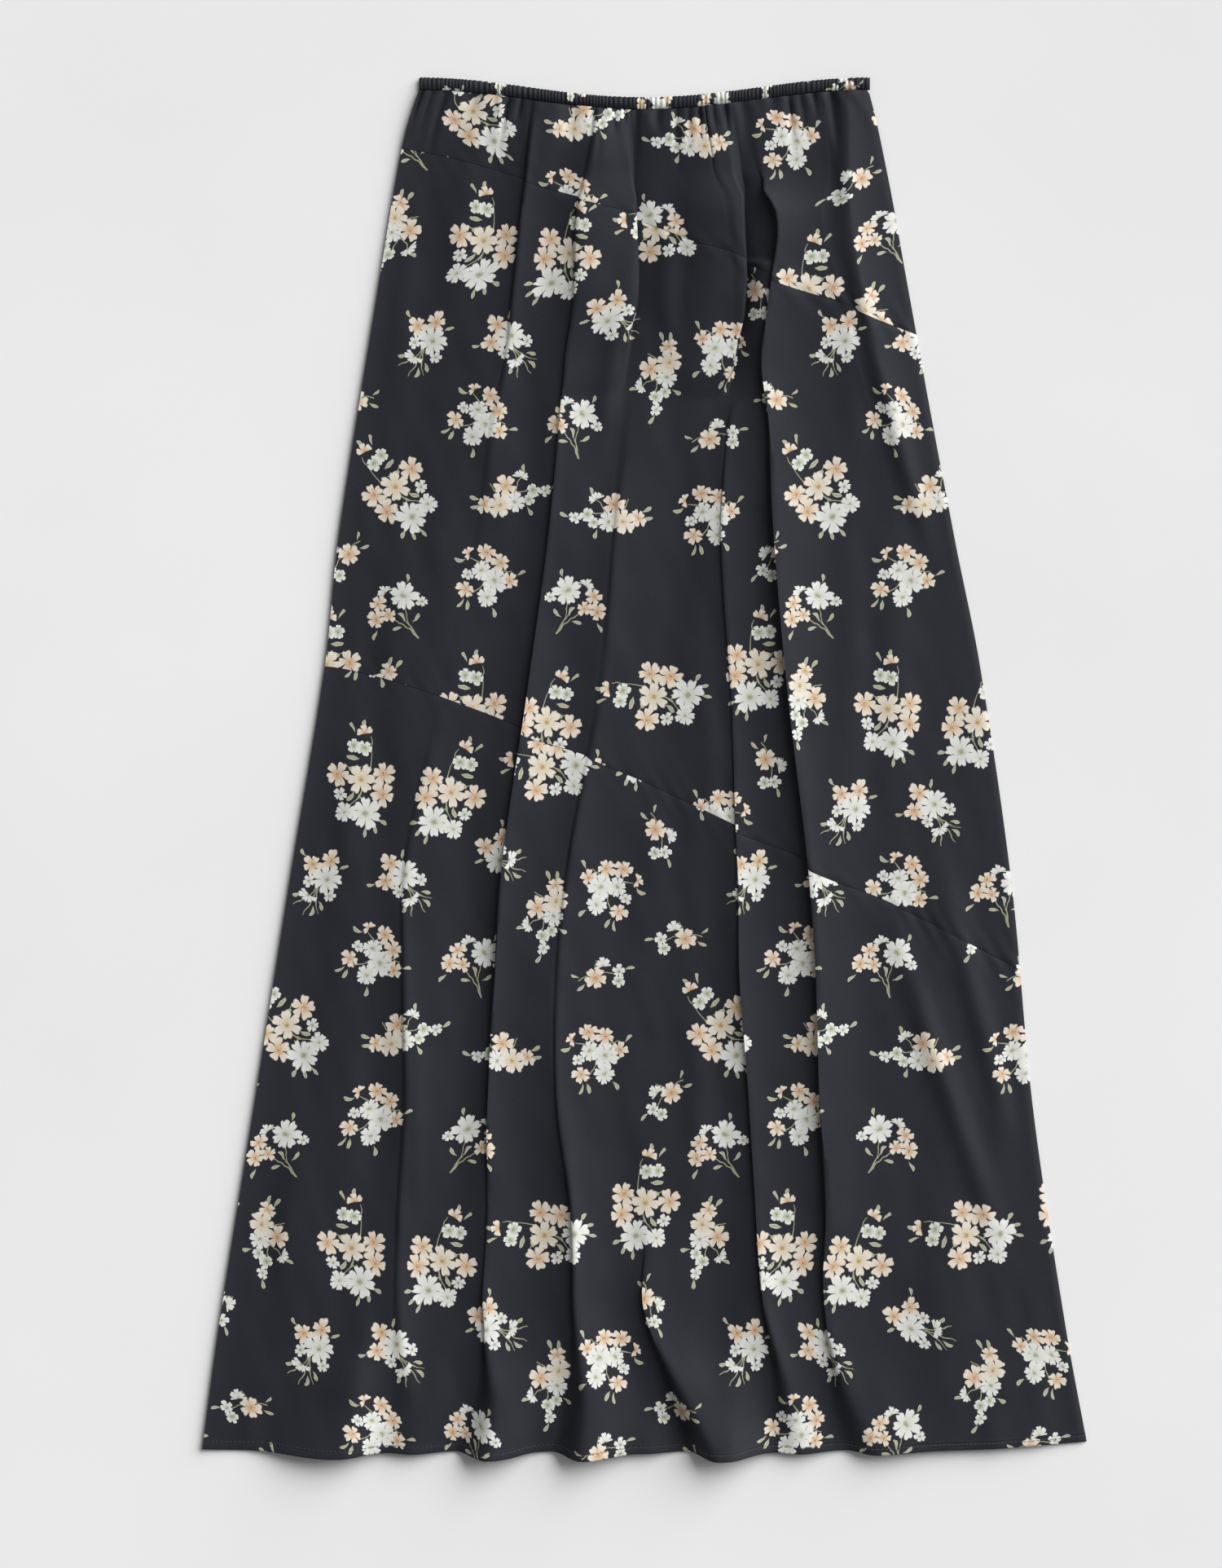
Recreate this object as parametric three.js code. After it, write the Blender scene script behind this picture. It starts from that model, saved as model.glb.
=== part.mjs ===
// A long A-line skirt laid flat on its back: three front panels joined by two slanting seams,
// a plain back panel, and a narrow gathered casing at the waist, one side on the other.
// Millimetres: +X is to the right as seen from above, +Y runs up to the waist, +Z is up, and the
// origin is on the surface, under the middle of the skirt.
import * as THREE from 'three';

// Driving dimensions
const CLOTH = 1.2; // wall of one panel
const SEAM_GAP = 0.3; // between pieces, at seams and between the two layers
const SLANT_EASE = 1.25; // the gap of a slanting seam is widened where folds squeeze it
const WAIST_Y = 494; // the casing's top edge at the side seams
const WAIST_DIP = 14; // how far that edge sinks in the middle
const CASING_DEPTH = 9; // from the casing's top edge to its seam
const CASING_THICK = 2.4; // one side of the casing, elastic and cloth
const CASING_GATHERS = 70; // ridges across one side
const CASING_SCALLOP = 0.06; // share by which the top edge is drawn in between the gathers
const YOKE_SEAM = { left: 443, fall: 132 }; // height at the left side, and the fall to the right side
const LOWER_SEAM = { left: 75, fall: 216 };
const SEAM_BOW = 1.35; // the seams start level and steepen
const HEM_Y = -483.5;
const HEM_ENDS = { left: 1.5, right: 7 }; // how far the hem rises at the side seams
const HEM_DEPTH = 6; // turned hem
const HEM_EXTRA = 0.5; // its added thickness
const HEM_SWING = 0.6; // a raised hem lobe reaches out by this share of its height
const HEM_SOFTENING = 0.8; // folds widen by this share and stand up straighter towards the hem
const HEM_SOFT_FROM = -395; // height at which both of these start
const BACK_INSET = { side: 1.5, hem: 7 }; // how far the back stays inside the front
const PUFF = { top: 2.2, bottom: 4 }; // air under the front, away from folds and edges
const PUFF_EDGE = 75; // distance over which that air closes towards the side seams
const WAIST_RISE = { height: 1.6, reach: 55 }; // the front climbs on to the casing's back side
const GATHER = { height: 0.8, reach: 42, uneven: 0.45, change: 9 }; // small gathers under the casing
const LEAN_LIMIT = 0.62; // the most that a crest leans over, as a share of its steep side
const FULL_CREASE = 4; // a fold this high presses its crease right down

// The two side seams, by height
const OUTLINE = [
  { y: 496, left: -157, right: 157 },
  { y: 460, left: -169.4, right: 165.8 },
  { y: 425, left: -176.9, right: 172.8 },
  { y: 355, left: -188.5, right: 185 },
  { y: 165, left: -218.6, right: 220.2 },
  { y: 77, left: -227.9, right: 237.8 },
  { y: -80, left: -253.5, right: 260.6 },
  { y: -237, left: -278.4, right: 275.5 },
  { y: -393, left: -303.3, right: 298.7 },
  { y: -490, left: -316.5, right: 316.5 },
];

// Where each fold's crease crosses each section of the front
const CREASES = [
  { y: 476, edge: -122, left: -88, inner: -37, mid: -10, short: 14, deep: 38, main: 78, right: 141 },
  { y: 430, edge: -132, left: -90, inner: -42, mid: -5, short: 23, deep: 56, main: 88, right: 146 },
  { y: 395, edge: -136, left: -92, inner: -46, mid: -2, short: 30, deep: 69, main: 96, right: 149 },
  { y: 345, edge: -141, left: -96, inner: -51, mid: -4, short: 31, deep: 71, main: 102, right: 154 },
  { y: 290, edge: -149, left: -103, inner: -57, mid: -9, short: 30, deep: 68, main: 92, right: 159 },
  { y: 245, edge: -155, left: -108, inner: -63, mid: -15, short: 27, deep: 66, main: 90, right: 163 },
  { y: 165, edge: -168, left: -122, inner: -73, mid: -21, short: 23, deep: 63, main: 93, right: 168 },
  { y: 60, edge: -186, left: -146, inner: -83, mid: -33, short: 18, deep: 67, main: 103, right: 172 },
  { y: -65, edge: -209, left: -169, inner: -102, mid: -55, short: 12, deep: 82, main: 115, right: 176 },
  { y: -150, edge: -214, left: -173, inner: -108, mid: -61, short: 5, deep: 83, main: 118, right: 180 },
  { y: -235, edge: -213, left: -175, inner: -115, mid: -64, short: -1, deep: 75, main: 121, right: 223 },
  { y: -315, edge: -222, left: -177, inner: -122, mid: -60, short: -5, deep: 77, main: 125, right: 252 },
  { y: -385, edge: -226, left: -178, inner: -129, mid: -59, short: 1, deep: 83, main: 121, right: 258 },
  { y: -440, edge: -258, left: -182, inner: -135, mid: -62, short: 14, deep: 86, main: 140, right: 260 },
  { y: -484, edge: -288, left: -187, inner: -139, mid: -67, short: 29, deep: 88, main: 167, right: 263 },
];

// How high each fold stands at those sections. Above zero the cloth right of the crease lies on
// top, below zero the cloth left of it.
const HEIGHTS = [
  { y: 476, edge: 0, left: 4, inner: 3, mid: -4, short: 1.5, deep: -4, main: 5, right: 2 },
  { y: 430, edge: 0, left: 6, inner: 3, mid: -7, short: 0, deep: -8, main: 9, right: 2.5 },
  { y: 395, edge: 0, left: 6, inner: 1.5, mid: -8, short: 0, deep: -9, main: 11, right: 2.5 },
  { y: 345, edge: 0, left: 5, inner: 1, mid: -7, short: 0, deep: -8, main: 11, right: 1.5 },
  { y: 290, edge: 0, left: 4, inner: 3, mid: -5, short: 0, deep: -6, main: 10, right: 0 },
  { y: 245, edge: 0, left: 2.5, inner: 5, mid: 0, short: 0, deep: -4, main: 10, right: 0 },
  { y: 165, edge: 0, left: 0, inner: 7, mid: 4, short: 0, deep: -4, main: 11, right: 0 },
  { y: 60, edge: 0, left: 0, inner: 8, mid: 6, short: 0, deep: -4, main: 11, right: 0 },
  { y: -65, edge: 0, left: 1, inner: 8, mid: 7, short: 0, deep: -2, main: 11, right: 1.5 },
  { y: -150, edge: 0, left: 3, inner: 8, mid: 6, short: 0, deep: 2, main: 10, right: 3 },
  { y: -235, edge: 0, left: 3.5, inner: 8, mid: 6, short: 0, deep: 5, main: 7, right: 3 },
  { y: -315, edge: 0, left: 3.5, inner: 8, mid: 6, short: 1, deep: 6, main: 2.5, right: 1.5 },
  { y: -385, edge: 2, left: 3, inner: 9, mid: 7, short: 7, deep: 6, main: 3, right: 0 },
  { y: -440, edge: 8, left: 2, inner: 11, mid: 9, short: 11, deep: 4.5, main: 6, right: 0 },
  { y: -484, edge: 12, left: 1.5, inner: 14, mid: 12, short: 14, deep: 2.5, main: 8, right: 0 },
];

// Each fold's section: the width of its steep side, of the slope behind its crest and of the
// slope down to the crease on the far side, and how far the crest leans over for its height
const FOLDS = [
  { name: 'edge', rise: 22, behind: 44, down: 1, lean: 0 },
  { name: 'left', rise: 9, behind: 42, down: 18, lean: 1.2 },
  { name: 'inner', rise: 10, behind: 44, down: 20, lean: 1.2 },
  { name: 'mid', rise: 9, behind: 40, down: 18, lean: 1.2 },
  { name: 'short', rise: 12, behind: 60, down: 22, lean: 0.9 },
  { name: 'deep', rise: 10, behind: 34, down: 14, lean: 1.2 },
  { name: 'main', rise: 10, behind: 52, down: 18, lean: 1.25 },
  { name: 'right', rise: 12, behind: 34, down: 18, lean: 0.6 },
];

const COLUMNS_BETWEEN = 8; // wall columns from one crease to the next
const COLUMN_CROWDING = 0.75; // how much they crowd towards the creases
const YOKE_ROWS = 7;
const MIDDLE_ROWS = 10;
const LOWER_ROWS = 13;
const LOWER_CROWDING = 1.35; // above 1, the lower panel's rows crowd towards the hem
const BACK_ROWS = 16;

const CLOTH_COLOUR = 0x2c2d33;
const CASING_COLOUR = 0x303137;
const CLOTH_ROUGHNESS = 0.75;

const { lerp, clamp } = THREE.MathUtils;
const smooth = (share) => THREE.MathUtils.smoothstep(share, 0, 1);

// A table's rows lie from the top down. This finds the row above a height and the share below it.
function rowAt(table, y) {
  let row = 0;
  while (row < table.length - 2 && y < table[row + 1].y) row += 1;
  return { row, share: clamp((table[row].y - y) / (table[row].y - table[row + 1].y), 0, 1) };
}

// A smooth curve through one column of a table, by height
function curveAt(table, column, y) {
  const { row, share } = rowAt(table, y);
  const from = table[row];
  const to = table[row + 1];
  const before = table[Math.max(row - 1, 0)];
  const after = table[Math.min(row + 2, table.length - 1)];
  const step = from.y - to.y;
  const leave = ((to[column] - before[column]) / (before.y - to.y)) * step;
  const arrive = ((after[column] - from[column]) / (from.y - after.y)) * step;
  const square = share * share;
  const cube = square * share;
  return (
    from[column] * (2 * cube - 3 * square + 1) +
    leave * (cube - 2 * square + share) +
    to[column] * (3 * square - 2 * cube) +
    arrive * (cube - square)
  );
}

// Steps from row to row with no overshoot, for heights that start and end at zero
function easedAt(table, column, y) {
  const { row, share } = rowAt(table, y);
  return lerp(table[row][column], table[row + 1][column], smooth(share));
}

const leftSide = (y) => curveAt(OUTLINE, 'left', y);
const rightSide = (y) => curveAt(OUTLINE, 'right', y);
const shareAcross = (x, y) => (x - leftSide(y)) / (rightSide(y) - leftSide(y));

// The sewn lines, each a height by the share of the width from left to right
const waistTop = (share) => WAIST_Y - WAIST_DIP * Math.sin(Math.PI * share) ** 2;
const waistSeam = (share) => waistTop(share) - CASING_DEPTH;
const slantSeam = (seam) => (share) => seam.left - seam.fall * clamp(share, 0, 1) ** SEAM_BOW;
const hemEdge = (share) => HEM_Y + HEM_ENDS.left * (1 - share) ** 6 + HEM_ENDS.right * share ** 6;

// 0 well above the hem, 1 at it
const hemShare = (y) => smooth((HEM_SOFT_FROM - y) / (HEM_SOFT_FROM - HEM_Y));

// A line moved up or down so that its edge stays half a seam's gap from the seam
function besideSeam(line, way) {
  const step = 0.01;
  return (share) => {
    const y = line(share);
    const run = 2 * step * (rightSide(y) - leftSide(y));
    const slope = (line(share + step) - line(share - step)) / run;
    return y + way * (SEAM_GAP / 2) * Math.hypot(1, SLANT_EASE * slope);
  };
}

// Height of the front's middle surface above the lowest place it can lie, and its sideways shift
function foldsAt(x, y) {
  const softening = HEM_SOFTENING * hemShare(y);
  const folds = FOLDS.map((fold) => {
    const signed = easedAt(HEIGHTS, fold.name, y);
    const side = signed < 0 ? -1 : 1;
    const height = Math.abs(signed);
    const away = side * (x - curveAt(CREASES, fold.name, y));
    const rise = fold.rise * (1 + softening);
    const steep = smooth(away / rise);
    const crest = away < rise ? steep : 1 - smooth((away - rise) / fold.behind);
    const press = Math.min(1, height / FULL_CREASE);
    const crease = press * (away < 0 ? smooth(1 + away / fold.down) : 1 - steep);
    const reach = Math.min(fold.lean * height, fold.rise * LEAN_LIMIT) * (1 - softening);
    return { lift: height * crest, shift: -side * reach * crest, crease };
  });
  const pressed = (skip) =>
    folds.reduce((left, fold, index) => (index === skip ? left : left * (1 - fold.crease)), 1);
  const edge = smooth(Math.min(x - leftSide(y), rightSide(y) - x) / PUFF_EDGE);
  const puff = edge * lerp(PUFF.bottom, PUFF.top, smooth((y - HEM_Y) / (WAIST_Y - HEM_Y)));
  let height = puff * pressed();
  let shift = 0;
  folds.forEach((fold, index) => {
    height += fold.lift * pressed(index);
    shift += fold.shift * pressed(index);
  });
  return { height, shift };
}

// A point of the front's middle surface, from its place on the flat front. The column counts
// creases from the left side, and its fraction places the small gathers under the casing.
function frontPoint(x, y, column) {
  const { height, shift } = foldsAt(x, y);
  const drop = waistSeam(shareAcross(x, y)) - y;
  const unevenness = 1 + GATHER.uneven * Math.sin(column * GATHER.change);
  const gatherFade = 1 - smooth(drop / (GATHER.reach * unevenness));
  const gather = GATHER.height * gatherFade * Math.cos(Math.PI * COLUMNS_BETWEEN * column);
  const climb = WAIST_RISE.height * (1 - smooth(drop / WAIST_RISE.reach));
  const swing = HEM_SWING * height * hemShare(y);
  const lowest = CLOTH + SEAM_GAP + CLOTH / 2;
  return new THREE.Vector3(x + shift, y - swing, lowest + height + climb + gather);
}

// Columns run from the left side through every crease to the right side.
function columnX(column, y) {
  const lines = [
    leftSide(y),
    ...FOLDS.map((fold) => curveAt(CREASES, fold.name, y)),
    rightSide(y),
  ];
  const from = Math.min(Math.floor(column), lines.length - 2);
  const share = column - from;
  const crowded = share - (COLUMN_CROWDING * Math.sin(2 * Math.PI * share)) / (2 * Math.PI);
  return lerp(lines[from], lines[from + 1], crowded);
}

const COLUMNS = Array.from(
  { length: (FOLDS.length + 1) * COLUMNS_BETWEEN + 1 },
  (_, index) => index / COLUMNS_BETWEEN,
);

// The height at which a column meets a sewn line, closed in on by a few repeats
function crossing(column, line) {
  let y = line(0.5);
  for (let tries = 0; tries < 8; tries += 1) y = line(shareAcross(columnX(column, y), y));
  return y;
}

// A grid of points on the front's middle surface, row by row from a top line to a bottom line
function frontGrid(topLine, bottomLine, shares) {
  return shares.map((share) =>
    COLUMNS.map((column) => {
      const y = lerp(crossing(column, topLine), crossing(column, bottomLine), share);
      return frontPoint(columnX(column, y), y, column);
    }),
  );
}

// The direction from one grid point to the next through this one, halving the turn between them
function through(before, here, after) {
  const arrive = here.clone().sub(before).normalize();
  const leave = after.clone().sub(here).normalize();
  return arrive.add(leave).normalize();
}

function outward(grid, row, column) {
  const line = grid[row];
  const here = line[column];
  const across = through(line[column - 1] ?? here, here, line[column + 1] ?? here);
  const above = grid[row - 1] ?? grid[row];
  const below = grid[row + 1] ?? grid[row];
  return across.cross(through(below[column], here, above[column])).normalize();
}

// The back lies flat on the surface, a little inside the front's edges.
function backGrid() {
  const topLine = besideSeam(waistSeam, -1);
  return evenShares(BACK_ROWS).map((share) =>
    evenShares(BACK_ROWS).map((across) => {
      const y = lerp(topLine(across), hemEdge(across) + BACK_INSET.hem, share);
      const x = lerp(leftSide(y) + BACK_INSET.side, rightSide(y) - BACK_INSET.side, across);
      return new THREE.Vector3(x, y, CLOTH / 2);
    }),
  );
}

function evenShares(steps) {
  return Array.from({ length: steps + 1 }, (_, index) => index / steps);
}

function geometryOf(points, faces) {
  const geometry = new THREE.BufferGeometry().setFromPoints(points);
  geometry.setIndex(faces);
  geometry.computeVertexNormals();
  return geometry;
}

// A closed wall: the grid moved out to both sides of its middle surface and joined round the rim.
// thickness gives the wall's thickness by row.
function wall(grid, thickness = () => CLOTH) {
  const rows = grid.length;
  const columns = grid[0].length;
  const points = [1, -1].flatMap((side) =>
    grid.flatMap((line, row) =>
      line.map((point, column) =>
        point.clone().addScaledVector(outward(grid, row, column), (side * thickness(row)) / 2),
      ),
    ),
  );
  const over = (row, column) => row * columns + column;
  const under = (row, column) => rows * columns + over(row, column);
  const faces = [];
  const quad = (a, b, c, d) => faces.push(a, b, c, a, c, d);
  for (let r = 0; r < rows - 1; r += 1) {
    for (let c = 0; c < columns - 1; c += 1) {
      quad(over(r, c), over(r + 1, c), over(r + 1, c + 1), over(r, c + 1));
      quad(under(r, c), under(r, c + 1), under(r + 1, c + 1), under(r + 1, c));
    }
    const end = columns - 1;
    quad(over(r, 0), under(r, 0), under(r + 1, 0), over(r + 1, 0));
    quad(over(r, end), over(r + 1, end), under(r + 1, end), under(r, end));
  }
  for (let c = 0; c < columns - 1; c += 1) {
    const end = rows - 1;
    quad(over(0, c), over(0, c + 1), under(0, c + 1), under(0, c));
    quad(over(end, c), under(end, c), under(end, c + 1), over(end, c + 1));
  }
  return geometryOf(points, faces);
}

// One side of the casing: a section with a flat underside, swept along the waist, its outer
// points raised at every gather. up is measured from the seam, and high from the underside.
function casing(underside) {
  const section = [
    { up: 0, high: 0, ridge: 0 },
    { up: 0, high: 0.7, ridge: 0.2 },
    { up: 0.22, high: 0.62, ridge: 0.25 },
    { up: 0.55, high: 1, ridge: 0.35 },
    { up: 0.94, high: 0.8, ridge: 0.3 },
    { up: 1, high: 0, ridge: 0 },
  ];
  const stations = evenShares(CASING_GATHERS * 2);
  const points = stations.flatMap((share, index) => {
    const hollow = index % 2;
    const seamY = waistSeam(share);
    const x = lerp(leftSide(seamY), rightSide(seamY), share);
    return section.map(({ up, high, ridge }) => {
      const rise = up * CASING_DEPTH * (1 - CASING_SCALLOP * hollow);
      const height = high * CASING_THICK * (1 - ridge * hollow);
      const y = seamY + SEAM_GAP / 2 + rise;
      return new THREE.Vector3(x, y, underside + height);
    });
  });
  const size = section.length;
  const faces = [];
  for (let s = 0; s < stations.length - 1; s += 1) {
    for (let k = 0; k < size; k += 1) {
      const next = (k + 1) % size;
      const here = s * size;
      const there = here + size;
      faces.push(here + k, there + k, there + next, here + k, there + next, here + next);
    }
  }
  const last = (stations.length - 1) * size;
  for (let k = 1; k < size - 1; k += 1) {
    faces.push(0, k, k + 1, last, last + k + 1, last + k);
  }
  return geometryOf(points, faces);
}

// Rows of the lower panel, closer towards the hem, the last one the turned hem
function lowerShares() {
  const turned = HEM_DEPTH / (slantSeam(LOWER_SEAM)(0.5) - HEM_Y);
  const crowded = (share) => (1 - (1 - share) ** LOWER_CROWDING) * (1 - turned);
  return [...evenShares(LOWER_ROWS).map(crowded), 1];
}

const yokeSeam = slantSeam(YOKE_SEAM);
const lowerSeam = slantSeam(LOWER_SEAM);
const hemmed = (row) => (row > LOWER_ROWS - 1 ? CLOTH + HEM_EXTRA : CLOTH);

const yokeWall = wall(
  frontGrid(besideSeam(waistSeam, -1), besideSeam(yokeSeam, 1), evenShares(YOKE_ROWS)),
);
const middleWall = wall(
  frontGrid(besideSeam(yokeSeam, -1), besideSeam(lowerSeam, 1), evenShares(MIDDLE_ROWS)),
);
const lowerWall = wall(frontGrid(besideSeam(lowerSeam, -1), hemEdge, lowerShares()), hemmed);

function cloth(name, geometry, color) {
  const roughness = CLOTH_ROUGHNESS;
  const material = new THREE.MeshStandardMaterial({ color, roughness, metalness: 0 });
  const mesh = new THREE.Mesh(geometry, material);
  mesh.name = name;
  return mesh;
}

const skirt = new THREE.Group();
skirt.add(
  cloth('back', wall(backGrid()), CLOTH_COLOUR),
  cloth('front_yoke', yokeWall, CLOTH_COLOUR),
  cloth('front_middle', middleWall, CLOTH_COLOUR),
  cloth('front_lower', lowerWall, CLOTH_COLOUR),
  cloth('waistband_back', casing(0), CASING_COLOUR),
  cloth('waistband_front', casing(CASING_THICK + SEAM_GAP), CASING_COLOUR),
);

// The origin goes under the middle of the whole skirt.
const middle = new THREE.Box3().setFromObject(skirt).getCenter(new THREE.Vector3());
skirt.position.set(-middle.x, -middle.y, 0);

export default skirt;
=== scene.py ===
# %% [markdown]
# # A long skirt laid flat
# The skirt lies on its back and is seen from straight above. Three front panels lie on one back
# panel, and a narrow gathered casing closes the waist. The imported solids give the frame. Each cloth
# piece below is a thin shell with its solid's outline and seams, but with finer folds.

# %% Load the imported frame
import math

import bpy
import numpy as np
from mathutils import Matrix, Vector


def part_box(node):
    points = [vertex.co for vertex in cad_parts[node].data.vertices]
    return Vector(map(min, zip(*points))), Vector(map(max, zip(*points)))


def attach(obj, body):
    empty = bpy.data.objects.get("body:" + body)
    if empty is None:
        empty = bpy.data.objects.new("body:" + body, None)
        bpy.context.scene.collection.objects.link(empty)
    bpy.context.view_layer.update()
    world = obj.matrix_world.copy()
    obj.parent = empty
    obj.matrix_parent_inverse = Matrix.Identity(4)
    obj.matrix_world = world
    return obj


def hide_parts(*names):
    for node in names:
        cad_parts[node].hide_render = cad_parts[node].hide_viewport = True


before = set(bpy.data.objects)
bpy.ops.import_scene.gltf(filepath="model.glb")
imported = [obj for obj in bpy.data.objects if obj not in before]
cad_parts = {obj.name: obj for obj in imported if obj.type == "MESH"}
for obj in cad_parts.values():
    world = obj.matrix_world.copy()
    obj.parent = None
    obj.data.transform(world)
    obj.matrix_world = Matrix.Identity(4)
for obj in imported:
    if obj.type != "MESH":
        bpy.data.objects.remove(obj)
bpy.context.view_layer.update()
MM = 0.001
print("solids:", ", ".join(sorted(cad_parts)))

# %% [markdown]
# ## Camera
# A garment laid flat is photographed from straight above. A camera with no rotation in Blender
# already looks down its own -Z axis, so it only has to be placed over the right point. A long lens
# from far away keeps the cloth's small heights from shifting its outline.

# %% Camera straight above
PHOTO_PIXELS = (1500, 1924)
PIXEL = 0.58 * MM
MODEL_ORIGIN_PIXEL = (791, 947)
CAMERA_HEIGHT = 6.0

camera_data = bpy.data.cameras.new("camera")
camera_data.sensor_width = 36
camera_data.lens = camera_data.sensor_width * CAMERA_HEIGHT / (PHOTO_PIXELS[1] * PIXEL)
camera = bpy.data.objects.new("camera", camera_data)
camera.location = (
    (PHOTO_PIXELS[0] / 2 - MODEL_ORIGIN_PIXEL[0]) * PIXEL,
    (MODEL_ORIGIN_PIXEL[1] - PHOTO_PIXELS[1] / 2) * PIXEL,
    CAMERA_HEIGHT,
)
bpy.context.scene.collection.objects.link(camera)
bpy.context.scene.camera = camera
print("lens", round(camera_data.lens, 1), "mm")

# %% [markdown]
# ## Node helpers
# Every finish here is built from shader nodes in code. Small helpers keep that readable: they add a
# node, set its own options, and join or fill its inputs.


# %% Helpers that add nodes
def fill(tree, node, inputs):
    """Fills a node's inputs. One given as a socket is linked, and any other is set as a value."""
    for key, value in inputs.items():
        if isinstance(value, bpy.types.NodeSocket):
            tree.links.new(value, node.inputs[key])
        else:
            node.inputs[key].default_value = value


def put(tree, kind, inputs=None, **options):
    """Adds one shader node, sets its options and fills its inputs."""
    made = tree.nodes.new("ShaderNode" + kind)
    for option, value in options.items():
        setattr(made, option, value)
    fill(tree, made, inputs or {})
    return made


def maths(tree, operation, *values):
    """Adds a Math node and gives its output socket."""
    return put(tree, "Math", dict(enumerate(values)), operation=operation).outputs[0]


def vectors(tree, operation, *values):
    """Adds a Vector Math node and gives its vector socket."""
    return put(tree, "VectorMath", dict(enumerate(values)), operation=operation).outputs["Vector"]


def noise(tree, place, scale, detail, output="Fac"):
    """Adds a Noise Texture node and gives one of its sockets."""
    made = put(tree, "TexNoise", {"Vector": place, "Scale": scale, "Detail": detail})
    return made.outputs[output]


def spread(tree, value, *ends):
    """Adds a Map Range node: the value's own two ends, and the two that they become."""
    return put(tree, "MapRange", {"Value": value} | dict(enumerate(ends, 1))).outputs["Result"]


def ramp(tree, value, stops):
    """Adds a colour ramp through stops of (position, colour), and gives its colour socket."""
    made = put(tree, "ValToRGB", {"Fac": value})
    elements = made.color_ramp.elements
    while len(elements) < len(stops):
        elements.new(1)
    for element, (position, colour) in zip(elements, stops):
        element.position = position
        element.color = linear(colour)
    return made.outputs["Color"]


def linear(hex_colour):
    """A screen colour such as "2C2D33" as the linear colour that shaders use: the value over 12.92
    where it is dark, and otherwise (value + 0.055) / 1.055 to the power 2.4."""
    screen = np.array([int(hex_colour[at : at + 2], 16) for at in (0, 2, 4)]) / 255
    light = np.where(screen < 0.04045, screen / 12.92, ((screen + 0.055) / 1.055) ** 2.4)
    return (*light.tolist(), 1)


def new_material(name):
    """An empty material, with the Principled shader that its colours go to."""
    material = bpy.data.materials.new(name)
    material.use_nodes = True
    tree = material.node_tree
    shader = next(node for node in tree.nodes if node.type == "BSDF_PRINCIPLED")
    return material, tree, shader


def new_group(name, inputs, outputs):
    """An empty node group with named sockets: its tree, the sockets that give its inputs and the
    node that takes its outputs."""
    tree = bpy.data.node_groups.new(name, "ShaderNodeTree")
    for way, sockets in (("INPUT", inputs), ("OUTPUT", outputs)):
        for label, kind in sockets.items():
            tree.interface.new_socket(label, in_out=way, socket_type="NodeSocket" + kind)
    return tree, tree.nodes.new("NodeGroupInput").outputs, tree.nodes.new("NodeGroupOutput")


# %% [markdown]
# ## Table and light
# The ground is a plain pale table. One large lamp stands past the waist and to the right, so that
# the hem and the left edge have a soft shadow and every fold shades the cloth left of it. A weak
# world fills the shadows, and looks as pale as the table past its edge. The Standard view transform
# shows a colour of the cloth as that colour.

# %% Table, lamp and world
TABLE_HALF = 4.0
TABLE_DROP = 0.2 * MM
LAMP_TOWARDS = (0.77, 0.64)
LAMP_HEIGHT_ANGLE = math.radians(30)
LAMP_SPREAD = math.radians(60)
LAMP_STRENGTH = 4.96
WORLD_STRENGTH, WORLD_SEEN = 0.24, 0.82

table_mesh = bpy.data.meshes.new("table_top")
corners = TABLE_HALF * np.array([(-1, -1, 0), (1, -1, 0), (1, 1, 0), (-1, 1, 0)])
table_mesh.from_pydata((corners - (0, 0, TABLE_DROP)).tolist(), [], [(0, 1, 2, 3)])
table_top = bpy.data.objects.new("table_top", table_mesh)
bpy.context.scene.collection.objects.link(table_top)

table_finish, tree, shader = new_material("pale_table")
place = put(tree, "TexCoord").outputs["Object"]
shade = ramp(tree, noise(tree, place, 3.0, 3.0), [(0.3, "E4E4E4"), (0.7, "E8E8E8")])
fill(tree, shader, {"Base Color": shade, "Roughness": 0.8, "Specular IOR Level": 0.2})
table_mesh.materials.append(table_finish)

lamp_data = bpy.data.lights.new("window_lamp", "SUN")
lamp_data.angle = LAMP_SPREAD
lamp_data.energy = LAMP_STRENGTH
lamp = bpy.data.objects.new("window_lamp", lamp_data)
turn_to = math.atan2(LAMP_TOWARDS[1], LAMP_TOWARDS[0])
lamp.rotation_euler = (0, math.pi / 2 - LAMP_HEIGHT_ANGLE, turn_to)
bpy.context.scene.collection.objects.link(lamp)

world = bpy.data.worlds.new("pale_room")
world.use_nodes = True
background = next(node for node in world.node_tree.nodes if node.type == "BACKGROUND")
seen = put(world.node_tree, "LightPath").outputs["Is Camera Ray"]
bright = spread(world.node_tree, seen, 0, 1, WORLD_STRENGTH, WORLD_SEEN)
fill(world.node_tree, background, {"Color": (1, 1, 1, 1), "Strength": bright})
bpy.context.scene.world = world
bpy.context.scene.view_settings.view_transform = "Standard"
print("lamp", round(math.degrees(LAMP_HEIGHT_ANGLE)), "degrees up, over a table of", 2 * TABLE_HALF, "m")

# %% [markdown]
# ## The cut and the folds
# A skirt's folds could come from a cloth simulation, but these have known places: each long fold
# starts at the waist or the hem and wanders a little. So every fold is a column in a table, with the
# place of its crease and its height at each section from the waist down to the hem.

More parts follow.
